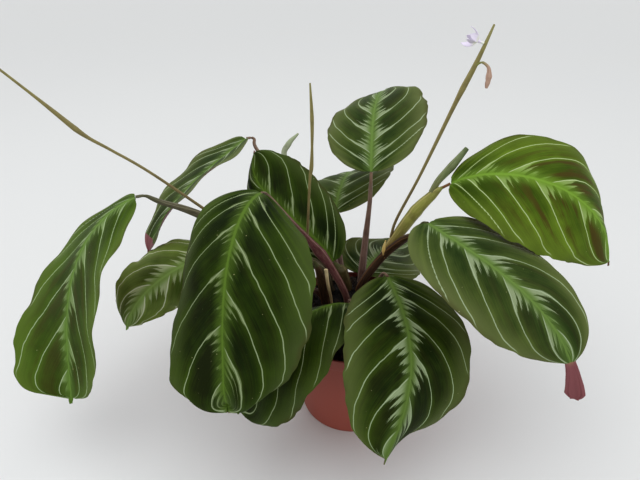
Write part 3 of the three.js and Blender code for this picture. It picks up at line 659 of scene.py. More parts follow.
def leaf_under(colour):
    """The lower face of a blade: dull burgundy with raised, paler veins, and plain burgundy near the tip."""
    s = Shader("leaf_underside")
    rib, veins, slope, reach = s.attributes("rib_distance", "vein", "vein_slope", "reach")
    phase = (veins + rib.below(0.0) * VEIN_STAGGER + VEIN_START).fraction()
    away = phase.least(1 - phase) / slope
    before_tip = reach.step(*UNDER_TIP)
    line = away.step(*UNDER_VEIN_HALF_WIDTH) * before_tip
    middle = abs(rib).step(*UNDER_RIB_HALF_WIDTH) * before_tip
    grain = s.noise(s.vector(veins * 30.0, abs(rib) * 0.06), 1.0, detail=4.0)
    green = s.mix(s.noise(s.place(), 35.0) * before_tip * 0.45, colour, paint(*UNDER_GREEN))
    base = s.mix(grain * 0.5, green, paint(*UNDER_CLOUD))
    base = s.mix(line * 0.5, base, paint(*UNDER_VEIN))
    base = s.mix(middle * 0.8, base, paint(*UNDER_MIDRIB))
    normal = s.bump(grain * 0.4 + line, 0.2 * MM, 0.8)
    return s.finish(Base_Color=base, Roughness=grain * 0.2 + 0.45, Normal=normal)


def stalk_skin(name, colour, foot, top, pale_and_highlight, joint):
    """Fleshy skin, foot-coloured at the bottom and top-coloured at the top, with fine lengthwise streaks, with
    a pale colour along the two edges of the sheath, partly their own and partly painted highlight, and with
    the joint's own colour just under the blade."""
    s = Shader(name)
    reach, turn, run = s.attributes("reach", "turn", "run")
    streaks = s.noise(s.vector(turn * 2.2, run * 0.05), 3.0, detail=4.0, roughness=0.65)
    mottle = s.noise(s.place(), 160.0)
    base = s.mix(reach.step(0.5, 0.0) * 0.85, colour, foot)
    base = s.mix(reach.step(0.6, 1.0) * 0.85, base, top)
    base = s.mix((streaks - 0.42).most(0.0) * 1.6, base, pale_and_highlight)
    base = s.mix((0.55 - mottle).most(0.0) * 1.4, base, s.mix(0.6, foot, paint(*STALK_DARK)))
    drift = (mottle - 0.5) * 0.3
    # The sheath's pale edges: partly its own margins, partly painted highlight along the flanks
    for angle, fading, full, strength in SHEATH_EDGE_HIGHLIGHTS:
        base = s.mix(abs(turn - angle + drift).step(fading, full) * strength, base, pale_and_highlight)
    base = s.mix(reach.step(0.9, 0.94) * 0.85, base, joint)
    normal = s.bump(streaks + mottle * 0.3, 0.15 * MM, 0.8)
    return s.finish(Base_Color=base, Roughness=mottle * 0.2 + 0.38, Normal=normal, Specular_IOR_Level=0.3)


def pot_plastic(colour, roughness):
    """Matt moulded plastic with a fine grain, faint flow lines round it and a little dust."""
    s = Shader("pot_plastic")
    place = s.place()
    height = s.node("ShaderNodeSeparateXYZ", {0: place}, output=2)
    grain = s.noise(place, 1400.0, detail=2.0)
    clouds = s.noise(place, 22.0, detail=4.0)
    lines = s.noise(s.vector(0.0, 0.0, height * 900.0), 1.0, detail=2.0)
    base = s.mix(clouds * 0.5, colour, paint(*PLASTIC_LIGHT))
    base = s.mix(grain * 0.25, base, paint(*PLASTIC_DARK))
    base = s.mix((clouds - 0.55).most(0.0) * 1.4, base, paint(*PLASTIC_DUST))
    normal = s.bump(grain * 0.5 + lines * 0.35, 0.06 * MM, 0.7)
    return s.finish(Base_Color=base, Roughness=clouds * 0.15 + (roughness - 0.08), Normal=normal)


def peat(name, colour, pale):
    """Dark fibrous peat: near black hollows, which are painted shade, browner crumbs and a few pale fibres."""
    s = Shader(name)
    place = s.place()
    lumps = s.noise(place, 260.0, detail=5.0, roughness=0.7)
    fibres = s.noise(place, 700.0, detail=4.0, roughness=0.7, distortion=2.0)
    # Painted shade: the low lumps go near black
    base = s.mix(lumps.step(0.35, 0.7), paint(*HOLLOW_SHADE), colour)
    base = s.mix(fibres.step(0.6, 0.78) * 0.7, base, pale)
    normal = s.bump(lumps + fibres * 0.5, 0.6 * MM, 1.0)
    return s.finish(Base_Color=base, Roughness=0.95, Normal=normal)


def petal_skin(name, colour, vein, foot):
    """Thin petal tissue with faint lengthwise veins, foot-coloured where it starts."""
    s = Shader(name)
    reach, turn = s.attributes("reach", "turn")
    streaks = s.noise(s.vector(turn * 3.0, reach * 0.6), 4.0)
    base = s.mix(streaks.step(0.45, 0.75) * 0.6, colour, vein)
    base = s.mix(s.noise(s.place(), 300.0) * 0.25, base, vein)
    base = s.mix(reach.step(0.5, 0.15), base, foot)
    normal = s.bump(streaks, 0.1 * MM, 0.6)
    return s.finish(Base_Color=base, Roughness=streaks * 0.2 + 0.4, Normal=normal)


def floor_paint(colour):
    """Smooth pale paint with the faintest unevenness."""
    s = Shader("floor")
    tint = s.noise(s.place(), 3.0)
    base = s.mix(tint * 0.25, colour, paint(*FLOOR_TINT))
    return s.finish(Base_Color=base, Roughness=tint * 0.1 + 0.5)


def add_piece(name, points, faces, materials, face_materials=None, attributes=None, sharp=50):
    """A mesh object from points in millimetres, with its place in its mesh."""
    mesh = bpy.data.meshes.new(name)
    mesh.from_pydata((np.asarray(points).reshape(-1, 3) * MM).tolist(), [], faces)
    for material in materials:
        mesh.materials.append(material)
    if face_materials is not None:
        mesh.polygons.foreach_set("material_index", np.asarray(face_materials, dtype=np.int32))
    mesh.polygons.foreach_set("use_smooth", np.ones(len(faces), dtype=bool))
    for key, values in (attributes or {}).items():
        layer = mesh.attributes.new(key, "FLOAT", "POINT")
        layer.data.foreach_set("value", np.asarray(values, dtype=np.float32).ravel())
    mesh.validate()
    mesh.update()
    mesh.set_sharp_from_angle(angle=math.radians(sharp))
    piece = bpy.data.objects.new(name, mesh)
    bpy.context.scene.collection.objects.link(piece)
    return piece


def dress(piece, slot, *nodes):
    """The piece rides on the plant and stands for these nodes."""
    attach(piece, ROOT)
    if nodes:
        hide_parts(*nodes)


def unit(vectors):
    """Vectors over their lengths."""
    return vectors / np.linalg.norm(vectors, axis=-1, keepdims=True)


def along(share, ends):
    """A value that is the first number at the base, the second halfway and the third at the tip."""
    base, middle, tip = ends
    rest = 1 - share
    return base * rest * (1 - 2 * share) + 4 * middle * share * rest + tip * share * (2 * share - 1)


def midrib_frames(leaf, shares):
    """The midrib's points and the blade's axes at the shares: the slope and heading are parabolas along it,
    and the point moves on by the mean of each step's two directions."""
    share = np.linspace(0, 1, MIDRIB_STEPS + 1)
    past = np.clip((share - HOOK_START) / (1 - HOOK_START), 0, 1)
    turn_under = leaf.get("hook", 0) * past**HOOK_SHARPNESS
    rise = np.radians(along(share, leaf["rise"]) - turn_under)
    heading = np.radians(along(share, leaf["heading"]))
    roll = np.radians(along(share, leaf["roll"]))[:, None]
    forward = np.stack([np.cos(rise) * np.cos(heading), np.cos(rise) * np.sin(heading), np.sin(rise)], axis=1)
    level = np.stack([-np.sin(heading), np.cos(heading), np.zeros_like(heading)], axis=1)
    upright = np.cross(forward, level)
    side = level * np.cos(roll) + upright * np.sin(roll)
    normal = np.cross(forward, side)
    steps = (forward[1:] + forward[:-1]) / 2 * leaf["length"] / MIDRIB_STEPS
    point = np.array(leaf["base"], float) + np.vstack([np.zeros(3), np.cumsum(steps, axis=0)])
    columns = np.hstack([point, forward, side, normal])
    read = np.stack([np.interp(shares, share, column) for column in columns.T], axis=1)
    return read[:, 0:3], read[:, 3:6], read[:, 6:9], read[:, 9:12]


def half_width(leaf, share, way):
    """How wide each half is: it opens as a square root from the base, closes as a power to the tip and ends
    in a tail, which narrows or widens evenly and is rounded as a square root."""
    tail_share, tail_root, tail_end = leaf.get("tail", TAIL)
    full = np.where(way > 0, *leaf["halves"])
    broad = np.where(way > 0, *leaf["broad"])
    body = np.clip(share / (1 - tail_share), 0, 1)
    closing = 0.5 / broad - 0.5
    wide = full * (body / broad) ** 0.5 * ((1 - body) / (1 - broad)) ** closing
    into = np.clip((share - 1 + tail_share) / tail_share, 0, 1)
    blunt = np.sqrt(np.clip((1 - share) / TAIL_ROUND, TAIL_BLUNTNESS, 1))
    narrow = (tail_root + (tail_end - tail_root) * into) * blunt
    return np.where(share > 0.5, np.maximum(wide, narrow), wide)


def margin_ripple(share, way, size):
    """Small uneven steps of the margin, as a factor of the width: a sum of sines along it, different on each
    side, which grow with the square of the share and the cube of the way out."""
    turn = 2 * np.pi * share + np.where(way > 0, *MARGIN_PHASES)
    steps = sum(height * np.sin(waves * turn + phase) for waves, height, phase in MARGIN_STEPS)
    return 1 + size * (0.6 + 1.2 * share**2) * np.abs(way) ** 3 * steps


def ruffle(leaf, share, way):
    """How far the blade's end moves along it, in millimetres: a sine across it that grows towards the tip."""
    count, depth, turn = leaf.get("ruffle", (1, 0, 0))
    grown = np.clip((share - RUFFLE_START) / RUFFLE_RISE, 0, 1) ** 2
    return depth * grown * np.sin(np.pi * count * way + turn)


def blade_points(leaf, shares, across):
    """The blade's middle sheet on a grid: each half leaves the midrib at its fold and bends on by its curl,
    as an arc, and the edge lifts as a wave that grows with the cube of the way out."""
    point, forward, side, normal = (axis[:, None, :] for axis in midrib_frames(leaf, shares))
    share, way = np.meshgrid(shares, across, indexing="ij")
    distance = np.abs(way) * half_width(leaf, share, way)
    distance = distance * margin_ripple(share, way, leaf.get("ripple", RIPPLE))
    fold = np.radians(np.where(way > 0, along(share, leaf["left"]), along(share, leaf["right"])))
    curl = math.radians(leaf["curl"] or 1e-3) / np.where(way > 0, *leaf["halves"])
    outward = (np.sin(fold + curl * distance) - np.sin(fold)) / curl
    fall = (np.cos(fold) - np.cos(fold + curl * distance)) / curl
    waves, height, phase = leaf["wave"]
    turn = 2 * np.pi * waves * share + phase + np.where(way < 0, FAR_SIDE_PHASE, 0)
    lift = height * np.abs(way) ** 3 * np.sin(turn)
    grid = point + side * (np.sign(way) * outward)[..., None] + normal * (lift - fall)[..., None]
    grid = grid + forward[np.searchsorted(shares, HOOK_START)] * ruffle(leaf, share, way)[..., None]
    return grid, share, way, distance


def vein_field(leaf, share, way, distance):
    """The side veins as a field that grows by one from vein to vein, and its slope per millimetre. A vein
    leaves the midrib at an angle and bends forward near the edge, and veins crowd at the base as a power of
    the share."""
    out = np.abs(way)
    forward = np.where(way > 0, *leaf.get("sweep", (1, 1)))
    sweep = forward * (VEIN_SWEEP[0] * out + VEIN_SWEEP[1] * out**2 + VEIN_SWEEP[2] * out**4)
    root = (share - VEIN_LEAN[0] * sweep) / (1 + VEIN_LEAN[1] * sweep)
    field = VEIN_COUNT * np.sign(root) * np.abs(root) ** VEIN_CROWDING
    ahead = np.gradient(field, axis=0) / np.maximum(np.gradient(share, axis=0) * leaf["length"], 1e-6)
    aside = np.gradient(field, axis=1) / np.maximum(np.gradient(distance * np.sign(way), axis=1), 1e-6)
    return field, np.clip(np.hypot(ahead, aside), *VEIN_SLOPES)


def grid_faces(rows, columns, wrap=False):
    """Quads of a grid of points, wound so that they face along rows crossed with columns."""
    i, j = np.meshgrid(np.arange(rows - 1), np.arange(columns if wrap else columns - 1), indexing="ij")
    i, j = i.ravel(), j.ravel()
    beside = (j + 1) % columns
    corners = [i * columns + j, (i + 1) * columns + j, (i + 1) * columns + beside, i * columns + beside]
    return np.stack(corners, axis=1)


def capped_faces(rings, sides):
    """Rings of points joined by quads and closed at both ends by a fan to a point: first the foot's, then the
    top's, which come after the rings. They face out where the rings turn left as they rise."""
    walls = grid_faces(rings, sides, wrap=True)[:, ::-1]
    first = np.arange(sides)
    after = (first + 1) % sides
    last = (rings - 1) * sides
    foot = np.full(sides, rings * sides)
    bottom = np.stack([after, first, foot], axis=1)
    lid = np.stack([last + first, last + after, foot + 1], axis=1)
    return walls.tolist() + bottom.tolist() + lid.tolist()


def shell_faces(rows, columns):
    """The faces of a thin closed shell: an upper grid, a lower grid that faces down, and a rim round both."""
    upper = grid_faces(rows, columns)
    count = rows * columns
    lower = upper[:, ::-1] + count
    index = np.arange(count).reshape(rows, columns)
    ring = np.concatenate([index[0, :-1], index[:-1, -1], index[-1, :0:-1], index[:0:-1, 0]])
    following = np.roll(ring, -1)
    rim = np.stack([ring, following, following + count, ring + count], axis=1)
    return upper, lower, rim


def surface_normals(grid):
    """Unit normals of a grid of points: its slopes along the rows and the columns, crossed."""
    return unit(np.cross(np.gradient(grid, axis=0), np.gradient(grid, axis=1)))


def build_leaf(name, leaf, looks, upper_skin, under_skin):
    """One blade round its middle sheet. The sheet bulges between the veins as a power of a sine of their
    phase, and dips above the midrib as a bell curve. The lower face has a ridge there, a bell curve too, and
    the blade thins at its margin as the eighth power of the way out."""
    eased = (1 - np.cos(np.pi * np.arange(BLADE_ROWS) / (BLADE_ROWS - 1))) / 2
    shares = BLADE_START + (1 - BLADE_START) * (0.5 * eased + 0.5 * np.linspace(0, 1, BLADE_ROWS))
    spread = np.linspace(-1, 1, BLADE_COLUMNS + 1)
    across = np.sign(spread) * np.abs(spread) ** COLUMN_CROWDING
    grid, share, way, distance = blade_points(leaf, shares, across)
    field, slope = vein_field(leaf, share, way, distance)
    phase = (field + VEIN_START + np.where(way < 0, VEIN_STAGGER, 0)) % 1
    normals = surface_normals(grid)
    calm = np.clip(distance / QUILT_FROM_RIB, 0, 1) * np.clip((1 - np.abs(way)) / QUILT_FROM_MARGIN, 0, 1)
    bulge = np.abs(np.sin(np.pi * phase)) ** QUILT_ROUNDNESS - QUILT_LEVEL
    groove = -GROOVE_DEPTH * np.exp(-((distance / GROOVE_HALF_WIDTH) ** 2)) * (1 - share)
    rib = looks.rib / MM * np.exp(-((distance / RIB_HALF_WIDTH) ** 2)) * (1 - RIB_TAPER * share)
    middle = grid + normals * (looks.quilt / MM * calm * bulge + groove)[..., None]
    half = looks.thickness / MM / 2 * (1 - MARGIN_THINNING * np.abs(way) ** 8)
    upper = middle + normals * half[..., None]
    lower = middle - normals * (half + rib)[..., None]
    shell = shell_faces(BLADE_ROWS, BLADE_COLUMNS + 1)
    feather = along(share, leaf.get("feather", FEATHER)).clip(0)
    fields = {"rib_distance": distance * np.sign(way), "edge": np.abs(way), "reach": share,
              "vein": field, "vein_slope": slope, "feather": feather}
    attributes = {key: np.concatenate([values.ravel()] * 2) for key, values in fields.items()}
    rolled = np.repeat(shares[1:] > leaf.get("under", 1), BLADE_COLUMNS).astype(int)
    sides = np.concatenate([rolled, np.ones(len(shell[1])), np.zeros(len(shell[2]))])
    return add_piece(name, np.stack([upper, lower]), np.concatenate(shell).tolist(),
                     [upper_skin, under_skin], sides, attributes)


def curve_through(path, per_segment):
    """A Catmull-Rom curve through the path's points: its places and directions, and its widths, which go
    straight from point to point."""
    path = np.array(path, float)
    points = path[:, :3]
    padded = np.vstack([2 * points[0] - points[1], points, 2 * points[-1] - points[-2]])
    place = np.concatenate([k + np.arange(n) / n for k, n in enumerate(per_segment)] + [[len(per_segment)]])
    k = np.minimum(place.astype(int), len(points) - 2)
    t = (place - k)[:, None]
    a, b, c, d = (padded[k + i] for i in range(4))
    ahead, bend, twist = c - a, 2 * a - 5 * b + 4 * c - d, 3 * b - a - 3 * c + d
    centre = 0.5 * (2 * b + ahead * t + bend * t**2 + twist * t**3)
    forward = unit(0.5 * (ahead + 2 * bend * t + 3 * twist * t**2))
    width = path[k, 3] + (path[k + 1, 3] - path[k, 3]) * t[:, 0]
    return centre, forward, width


def stalk_path(name, stalk):
    """A stalk's points, down to its root in the soil and up to the base of its blade."""
    points = [tuple(point) for point in stalk["path"]]
    x, y, z, half = points[0]
    if z < ROOTED_BELOW:
        points.insert(0, (x, y, STALK_ROOT_HEIGHT, half))
    if name not in LEAVES:
        return points
    leaf = LEAVES[name]
    base, forward, _, _ = (axis[0] for axis in midrib_frames(leaf, [0.0]))
    arriving = unit(base - np.array(points[-1][:3]))
    lead = base - unit(arriving + forward) * STALK_LEAD
    end = base + forward * (BLADE_START * leaf["length"] - STALK_END_GAP)
    return points + [(*lead, stalk.get("tip", STALK_TIP_HALF_WIDTH)), (*end, STALK_TIP_HALF_WIDTH)]


def ring_angles(sides):
    """The angles of the points of a ring, as one row."""
    return (2 * np.pi * np.arange(sides) / sides)[None, :]


def tube(path, flat, sides=20, step=1.5, ridge=0.0, profile=None):
    """An oval section carried along a curve and closed at both ends. Its wide axis stays level, ridges are a
    cosine round it, and profile, a function of the share and the angle, scales it."""
    lengths = np.linalg.norm(np.diff(np.array(path, float)[:, :3], axis=0), axis=1)
    centre, forward, width = curve_through(path, np.maximum(2, np.round(lengths / step)).astype(int))
    wide = unit(np.array([1.0, 0, 0]) - forward * forward[:, :1])
    deep = np.cross(forward, wide)
    share = np.linspace(0, 1, len(centre))[:, None]
    angle = ring_angles(sides)
    scale = 1 + ridge * np.cos(STALK_RIDGES * angle) + np.zeros_like(share)
    if profile is not None:
        scale = scale * profile(share, angle)
    rings = centre[:, None] + wide[:, None] * (width[:, None] * scale * np.cos(angle))[..., None]
    rings = rings + deep[:, None] * (width[:, None] * flat * scale * np.sin(angle))[..., None]
    run = np.concatenate([[0], np.cumsum(np.linalg.norm(np.diff(centre, axis=0), axis=1))])
    points = np.vstack([rings.reshape(-1, 3), centre[:1], centre[-1:]])
    ends = [np.array([0.0, 1.0]), np.array([0.0, 0.0]), run[[0, -1]]]
    fields = [share + 0 * angle, np.abs(angle - np.pi) + 0 * share, run[:, None] + 0 * angle]
    attributes = {key: np.concatenate([field.ravel(), end])
                  for key, field, end in zip(("reach", "turn", "run"), fields, ends)}
    return points, capped_faces(len(centre), sides), attributes


def add_tube(name, skin, path, flat, **form):
    """A piece that is one tube of this form."""
    points, faces, attributes = tube(path, flat, **form)
    return add_piece(name, points, faces, [skin], attributes=attributes)


def sheath(share, angle):
    """A stalk's section, as a factor: wider across below, where the sheath wraps it, as a cosine round it,
    and with faint swellings along it, as a sine."""
    wrap = 1 + SHEATH_WIDENING * np.cos(2 * angle) * (share < SHEATH_SHARE)
    return wrap * (1 - STALK_SWELLING * np.sin(STALK_SWELLINGS * np.pi * share))


def crumple(share, angle):
    """Creases of the hanging tube, as a factor: a sine that winds round it and is deepest halfway, and a
    finer one along it."""
    return 1 + 0.18 * np.sin(5 * angle + 9 * share) * np.sin(np.pi * share) + 0.08 * np.sin(30 * share)


def spun(u, v, angle):
    """Two coordinates turned by an angle."""
    return u * math.cos(angle) - v * math.sin(angle), u * math.sin(angle) + v * math.cos(angle)


def pot_radius_at(height):
    """The pot's outer radius without its rim band, which grows evenly from the foot to the top."""
    return POT_FOOT_RADIUS + (POT_TOP_RADIUS - POT_FOOT_RADIUS) * height / POT_HEIGHT


def rounded(profile, radius, steps=4):
    """A profile whose corners are cut by small parabolas, each from a point before to a point after."""
    points = np.array(profile, float)
    out = [points[0]]
    for before, corner, after in zip(points[:-2], points[1:-1], points[2:]):
        reach_in = min(radius, np.linalg.norm(corner - before) * CORNER_SHARE)
        reach_out = min(radius, np.linalg.norm(after - corner) * CORNER_SHARE)
        start = corner + (before - corner) / np.linalg.norm(before - corner) * reach_in
        end = corner + (after - corner) / np.linalg.norm(after - corner) * reach_out
        t = np.linspace(0, 1, steps + 1)[:, None]
        out += list((1 - t) ** 2 * start + 2 * t * (1 - t) * corner + t**2 * end)
    return np.array(out + [points[-1]])


def turned(profile, sides):
    """A closed body of revolution: the profile runs from axis to axis, and its ends become poles."""
    angle = ring_angles(sides)
    radius, height = profile[1:-1, 0:1], profile[1:-1, 1:2]
    rings = np.stack([radius * np.cos(angle), radius * np.sin(angle), height + 0 * angle], axis=-1)
    points = np.vstack([rings.reshape(-1, 3), [[0, 0, profile[0, 1]], [0, 0, profile[-1, 1]]]])
    return points, capped_faces(len(rings), sides)


def soil_height(x, y):
    """Level at the wall and heaped round the crown as a bell curve."""
    away = ((x - SOIL_HEAP_CENTRE[0]) ** 2 + (y - SOIL_HEAP_CENTRE[1]) ** 2) / (2 * SOIL_HEAP_SPREAD**2)
    return SOIL_EDGE_HEIGHT + SOIL_HEAP_HEIGHT * np.exp(-away)


def rough(x, y):
    """Uneven ground: for each size, three sine waves in seeded directions, multiplied in pairs."""
    draw = np.random.default_rng(SOIL_SEED)
    total = np.zeros_like(x)
    for size, height in SOIL_WAVES:
        for _ in range(3):
            turn, first, second = draw.uniform(0, 2 * np.pi, 3)
            v, u = spun(y, x, turn)
            total = total + height / 2 * np.sin(u / size * 2 + first) * np.sin(v / size * 2 + second)
    return total


class PLANT_OT_pot(bpy.types.Operator):
    """Builds the nursery pot with its rim band and drain holes"""

    bl_idname = "prayer_plant.pot"
    bl_label = "Pot"

    def execute(self, context):
        looks = context.scene.plant_pot
        ring = POT_FOOT_RADIUS - FOOT_RING_WIDTH
        below, above = RIM_BAND_START - RIM_BAND_SLANT, RIM_BAND_START + RIM_BAND_SLANT
        at_band = pot_radius_at(RIM_BAND_START)
        profile = rounded([
            (0, FOOT_RING_HEIGHT),
            (ring - FOOT_RING_HEIGHT, FOOT_RING_HEIGHT),
            (ring, 0),
            (POT_FOOT_RADIUS, 0),
            (at_band - RIM_BAND_PROUD, RIM_BAND_START),
            (at_band, above),
            (POT_TOP_RADIUS, POT_HEIGHT),
            (POT_TOP_RADIUS - POT_WALL, POT_HEIGHT),
            (at_band - POT_WALL, above),
            (at_band - RIM_BAND_PROUD - POT_WALL, below),
            (pot_radius_at(POT_FLOOR) - POT_WALL, POT_FLOOR),
            (0, POT_FLOOR),
        ], POT_ROUNDING)
        points, faces = turned(profile, POT_SIDES)
        skin = pot_plastic(looks.plastic, looks.roughness)
        pot = add_piece("pot_shell", points, faces, [skin], sharp=40)
        low, high = DRILL_REACH
        outline = np.array([(0, low), (DRAIN_HOLE_RADIUS, low), (DRAIN_HOLE_RADIUS, high), (0, high)], float)
        drill_points, drill_faces = turned(outline, DRAIN_HOLE_SIDES)
        drills = []
        for i in range(DRAIN_HOLES):
            angle = 2 * math.pi * i / DRAIN_HOLES
            shift = DRAIN_CIRCLE_RADIUS * np.array([math.cos(angle), math.sin(angle), 0])
            drills.append(add_piece(f"drill_{i}", drill_points + shift, drill_faces, [skin]))
            cut = pot.modifiers.new("hole", "BOOLEAN")
            cut.operation = "DIFFERENCE"
            cut.object = drills[-1]
            cut.solver = "EXACT"
        apply_modifiers(pot)
        for drill in drills:
            bpy.data.objects.remove(drill)
        dress(pot, "pot_plastic", "pot")
        return {"FINISHED"}


def apply_modifiers(piece):
    """Puts the result of a piece's modifiers into its own mesh."""
    evaluated = piece.evaluated_get(bpy.context.evaluated_depsgraph_get())
    mesh = bpy.data.meshes.new_from_object(evaluated)
    piece.modifiers.clear()
    piece.data = mesh


class PLANT_OT_soil(bpy.types.Operator):
    """Fills the pot with peat and strews crumbs on it"""

    bl_idname = "prayer_plant.soil"
    bl_label = "Soil"

    def execute(self, context):
        looks = context.scene.plant_soil
        skin = peat("peat", looks.peat, paint(*PEAT_FIBRE))
        angle = ring_angles(SOIL_SIDES)
        edge = pot_radius_at(RIM_BAND_START) - POT_WALL - SOIL_TOP_GAP
        radius = edge * np.linspace(SOIL_INNER_RING, 1, SOIL_RINGS)[:, None] ** SOIL_RING_CROWDING
        x, y = radius * np.cos(angle), radius * np.sin(angle)
        rest = np.clip((edge - radius) / SOIL_CALM_EDGE, 0, 1)
        z = soil_height(x, y) + rough(x, y) * (SOIL_CALM + (1 - SOIL_CALM) * rest)
        bottom = POT_FLOOR + SOIL_FLOOR_GAP
        below = [
            (edge, RIM_BAND_START + SOIL_SHOULDER),
            (edge + SOIL_TOP_GAP - RIM_BAND_PROUD - SOIL_SIDE_GAP, RIM_BAND_START - SOIL_SHOULDER),
            (pot_radius_at(POT_FLOOR) - POT_WALL - SOIL_SIDE_GAP, bottom),
        ]
        walls = [np.stack([r * np.cos(angle), r * np.sin(angle), h + 0 * angle], axis=-1) for r, h in below]
        body = np.concatenate([np.stack([x, y, z], axis=-1), *walls])
        points = np.vstack([body.reshape(-1, 3), [[0, 0, float(z[0].mean())], [0, 0, bottom]]])
        faces = [face[::-1] for face in capped_faces(len(body), SOIL_SIDES)]
        dress(add_piece("soil_body", points, faces, [skin], sharp=80), "peat", "soil")
        dress(crumbs(looks.crumbs), "peat")
        return {"FINISHED"}


def crumbs(count):
    """Octahedra pulled out of shape by a seeded draw, half sunk in the soil."""
    draw = np.random.default_rng(CRUMB_SEED)
    corners = np.array([(1, 0, 0), (0, 1, 0), (-1, 0, 0), (0, -1, 0), (0, 0, 1), (0, 0, -1)], float)
    turns = np.array([(0, 1, 4), (1, 2, 4), (2, 3, 4), (3, 0, 4), (1, 0, 5), (2, 1, 5), (3, 2, 5), (0, 3, 5)])
    radius = (POT_TOP_RADIUS - CRUMB_MARGIN) * np.sqrt(draw.uniform(0, 1, count))
    angle = draw.uniform(0, 2 * np.pi, count)
    x, y = radius * np.cos(angle), radius * np.sin(angle)
    centre = np.stack([x, y, soil_height(x, y) + rough(x, y) + CRUMB_RISE], axis=1)
    size = draw.gamma(2.0, CRUMB_SIZE, (count, 1, 1)) + CRUMB_LEAST
    shape = corners[None] * draw.uniform(*CRUMB_STRETCH, (count, 6, 1)) * size
    lean = draw.uniform(-CRUMB_LEAN, CRUMB_LEAN, (count, 6, 3)) * size
    points = centre[:, None] + shape + lean
    faces = (turns[None] + 6 * np.arange(count)[:, None, None]).reshape(-1, 3).tolist()
    skin = peat("peat_crumbs", paint(*CRUMB), paint(*CRUMB_FIBRE))
    return add_piece("soil_crumbs", points, faces, [skin], sharp=20)


class PLANT_OT_leaves(bpy.types.Operator):
    """Builds every leaf blade"""

    bl_idname = "prayer_plant.leaves"
    bl_label = "Leaves"

    def execute(self, context):
        looks = context.scene.plant_leaf
        uppers = {tone: leaf_upper(tone) for tone in TONES}
        under = leaf_under(looks.underside)
        for name, leaf in LEAVES.items():
            blade = build_leaf("blade_" + name, leaf, looks, uppers[leaf["tone"]], under)
            slot = "young_leaf" if leaf["tone"] == "young" else "leaf"
            dress(blade, slot, "leaf_" + name)
        return {"FINISHED"}


class PLANT_OT_stalks(bpy.types.Operator):
    """Builds the leaf stalks, rolled leaves, flower stalks, old sheath, dry stub and dry scale"""

    bl_idname = "prayer_plant.stalks"
    bl_label = "Stalks"

    def execute(self, context):
        looks = context.scene.plant_stalk
        skins = {}
        for name, (_, *others) in STALK_SKINS.items():
            colours = [paint(*other) for other in others]
            skins[name] = stalk_skin(name + "_skin", getattr(looks, name), *colours)
        for name, stalk in STALKS.items():
            skin = stalk["skin"]
            leafy = name in LEAVES
            node = "stalk_" + name if leafy else name
            piece = add_tube(node + "_skin", skins[skin], stalk_path(name, stalk), stalk["flat"],
                             ridge=looks.ridge, profile=sheath if leafy else None)
            dress(piece, STALK_SKINS[skin][0], node)
        scale = add_tube("dry_scale", skins["scale"], SCALE_PATH, SCALE_FLATNESS, step=0.8, ridge=looks.ridge)
        dress(scale, STALK_SKINS["scale"][0])
        return {"FINISHED"}


class PLANT_OT_flowers(bpy.types.Operator):
    """Builds the open flower and the withered one"""

    bl_idname = "prayer_plant.flowers"
    bl_label = "Flowers"

    def execute(self, context):
        looks = context.scene.plant_flower
        fresh = petal_skin("petal", looks.petal, *(paint(*colour) for colour in PETAL_COLOURS))
        dress(open_flower(fresh), "petal", "flower")
        dry = petal_skin("withered_petal", looks.withered, *(paint(*colour) for colour in WITHERED_COLOURS))
        withered = add_tube("withered_bloom", dry, WITHERED_PATH, WITHERED_FLATNESS, sides=16, step=0.5,
                            profile=crumple)
        dress(withered, "withered_petal", "withered_flower")
        return {"FINISHED"}


def petal_sheet(number):
    """One petal's middle sheet, with its two parameters: s from the foot to the tip and a from edge to edge.
    Its width swells and closes as a product of powers of s, it rises more steeply as s grows, its edges hang
    as a parabola, and a sine of s twists it."""
    length, width, lean = PETAL_SHAPES[number % len(PETAL_SHAPES)]
    s, a = np.meshgrid(np.linspace(0, 1, PETAL_ROWS), np.linspace(-1, 1, PETAL_COLUMNS), indexing="ij")
    bend = math.radians(lean) + 0.5 * s
    x = PETAL_FOOT[0] + length * s * np.cos(bend)
    y = a * width * (0.28 + 2.1 * s * (1 - s) ** 0.75)
    z = PETAL_FOOT[1] + length * s * np.sin(bend) - 1.1 * a**2 * s + 0.5 * np.sin(7 * s + number) * a * s
    x, y = spun(x, y, 2 * math.pi * number / PETALS)
    return np.stack([x, y, z], axis=-1), s, a


def open_flower(skin):
    """A short tube with the petals round its mouth, each a sheet with a thickness, tilted from upright."""
    body, faces, fields = tube(FLOWER_TUBE, 1, sides=12, step=0.6)
    points, reach, turn = [body], [fields["reach"]], [fields["turn"]]
    petal_faces = np.concatenate(shell_faces(PETAL_ROWS, PETAL_COLUMNS))
    for number in range(PETALS):
        start = sum(len(part) for part in points)
        grid, s, a = petal_sheet(number)
        half = surface_normals(grid) * PETAL_THICKNESS / 2
        points.append(np.concatenate([grid + half, grid - half]).reshape(-1, 3))
        faces += (petal_faces + start).tolist()
        reach += [s.ravel()] * 2
        turn += [np.abs(a).ravel()] * 2
    x, y, z = np.concatenate(points).T
    z, x = spun(z, x, math.radians(FLOWER_TILT))
    placed = np.stack([x, y, z], axis=1) + np.array(FLOWER_BASE)
    attributes = {"reach": np.concatenate(reach), "turn": np.concatenate(turn)}
    return add_piece("open_bloom", placed, faces, [skin], attributes=attributes)


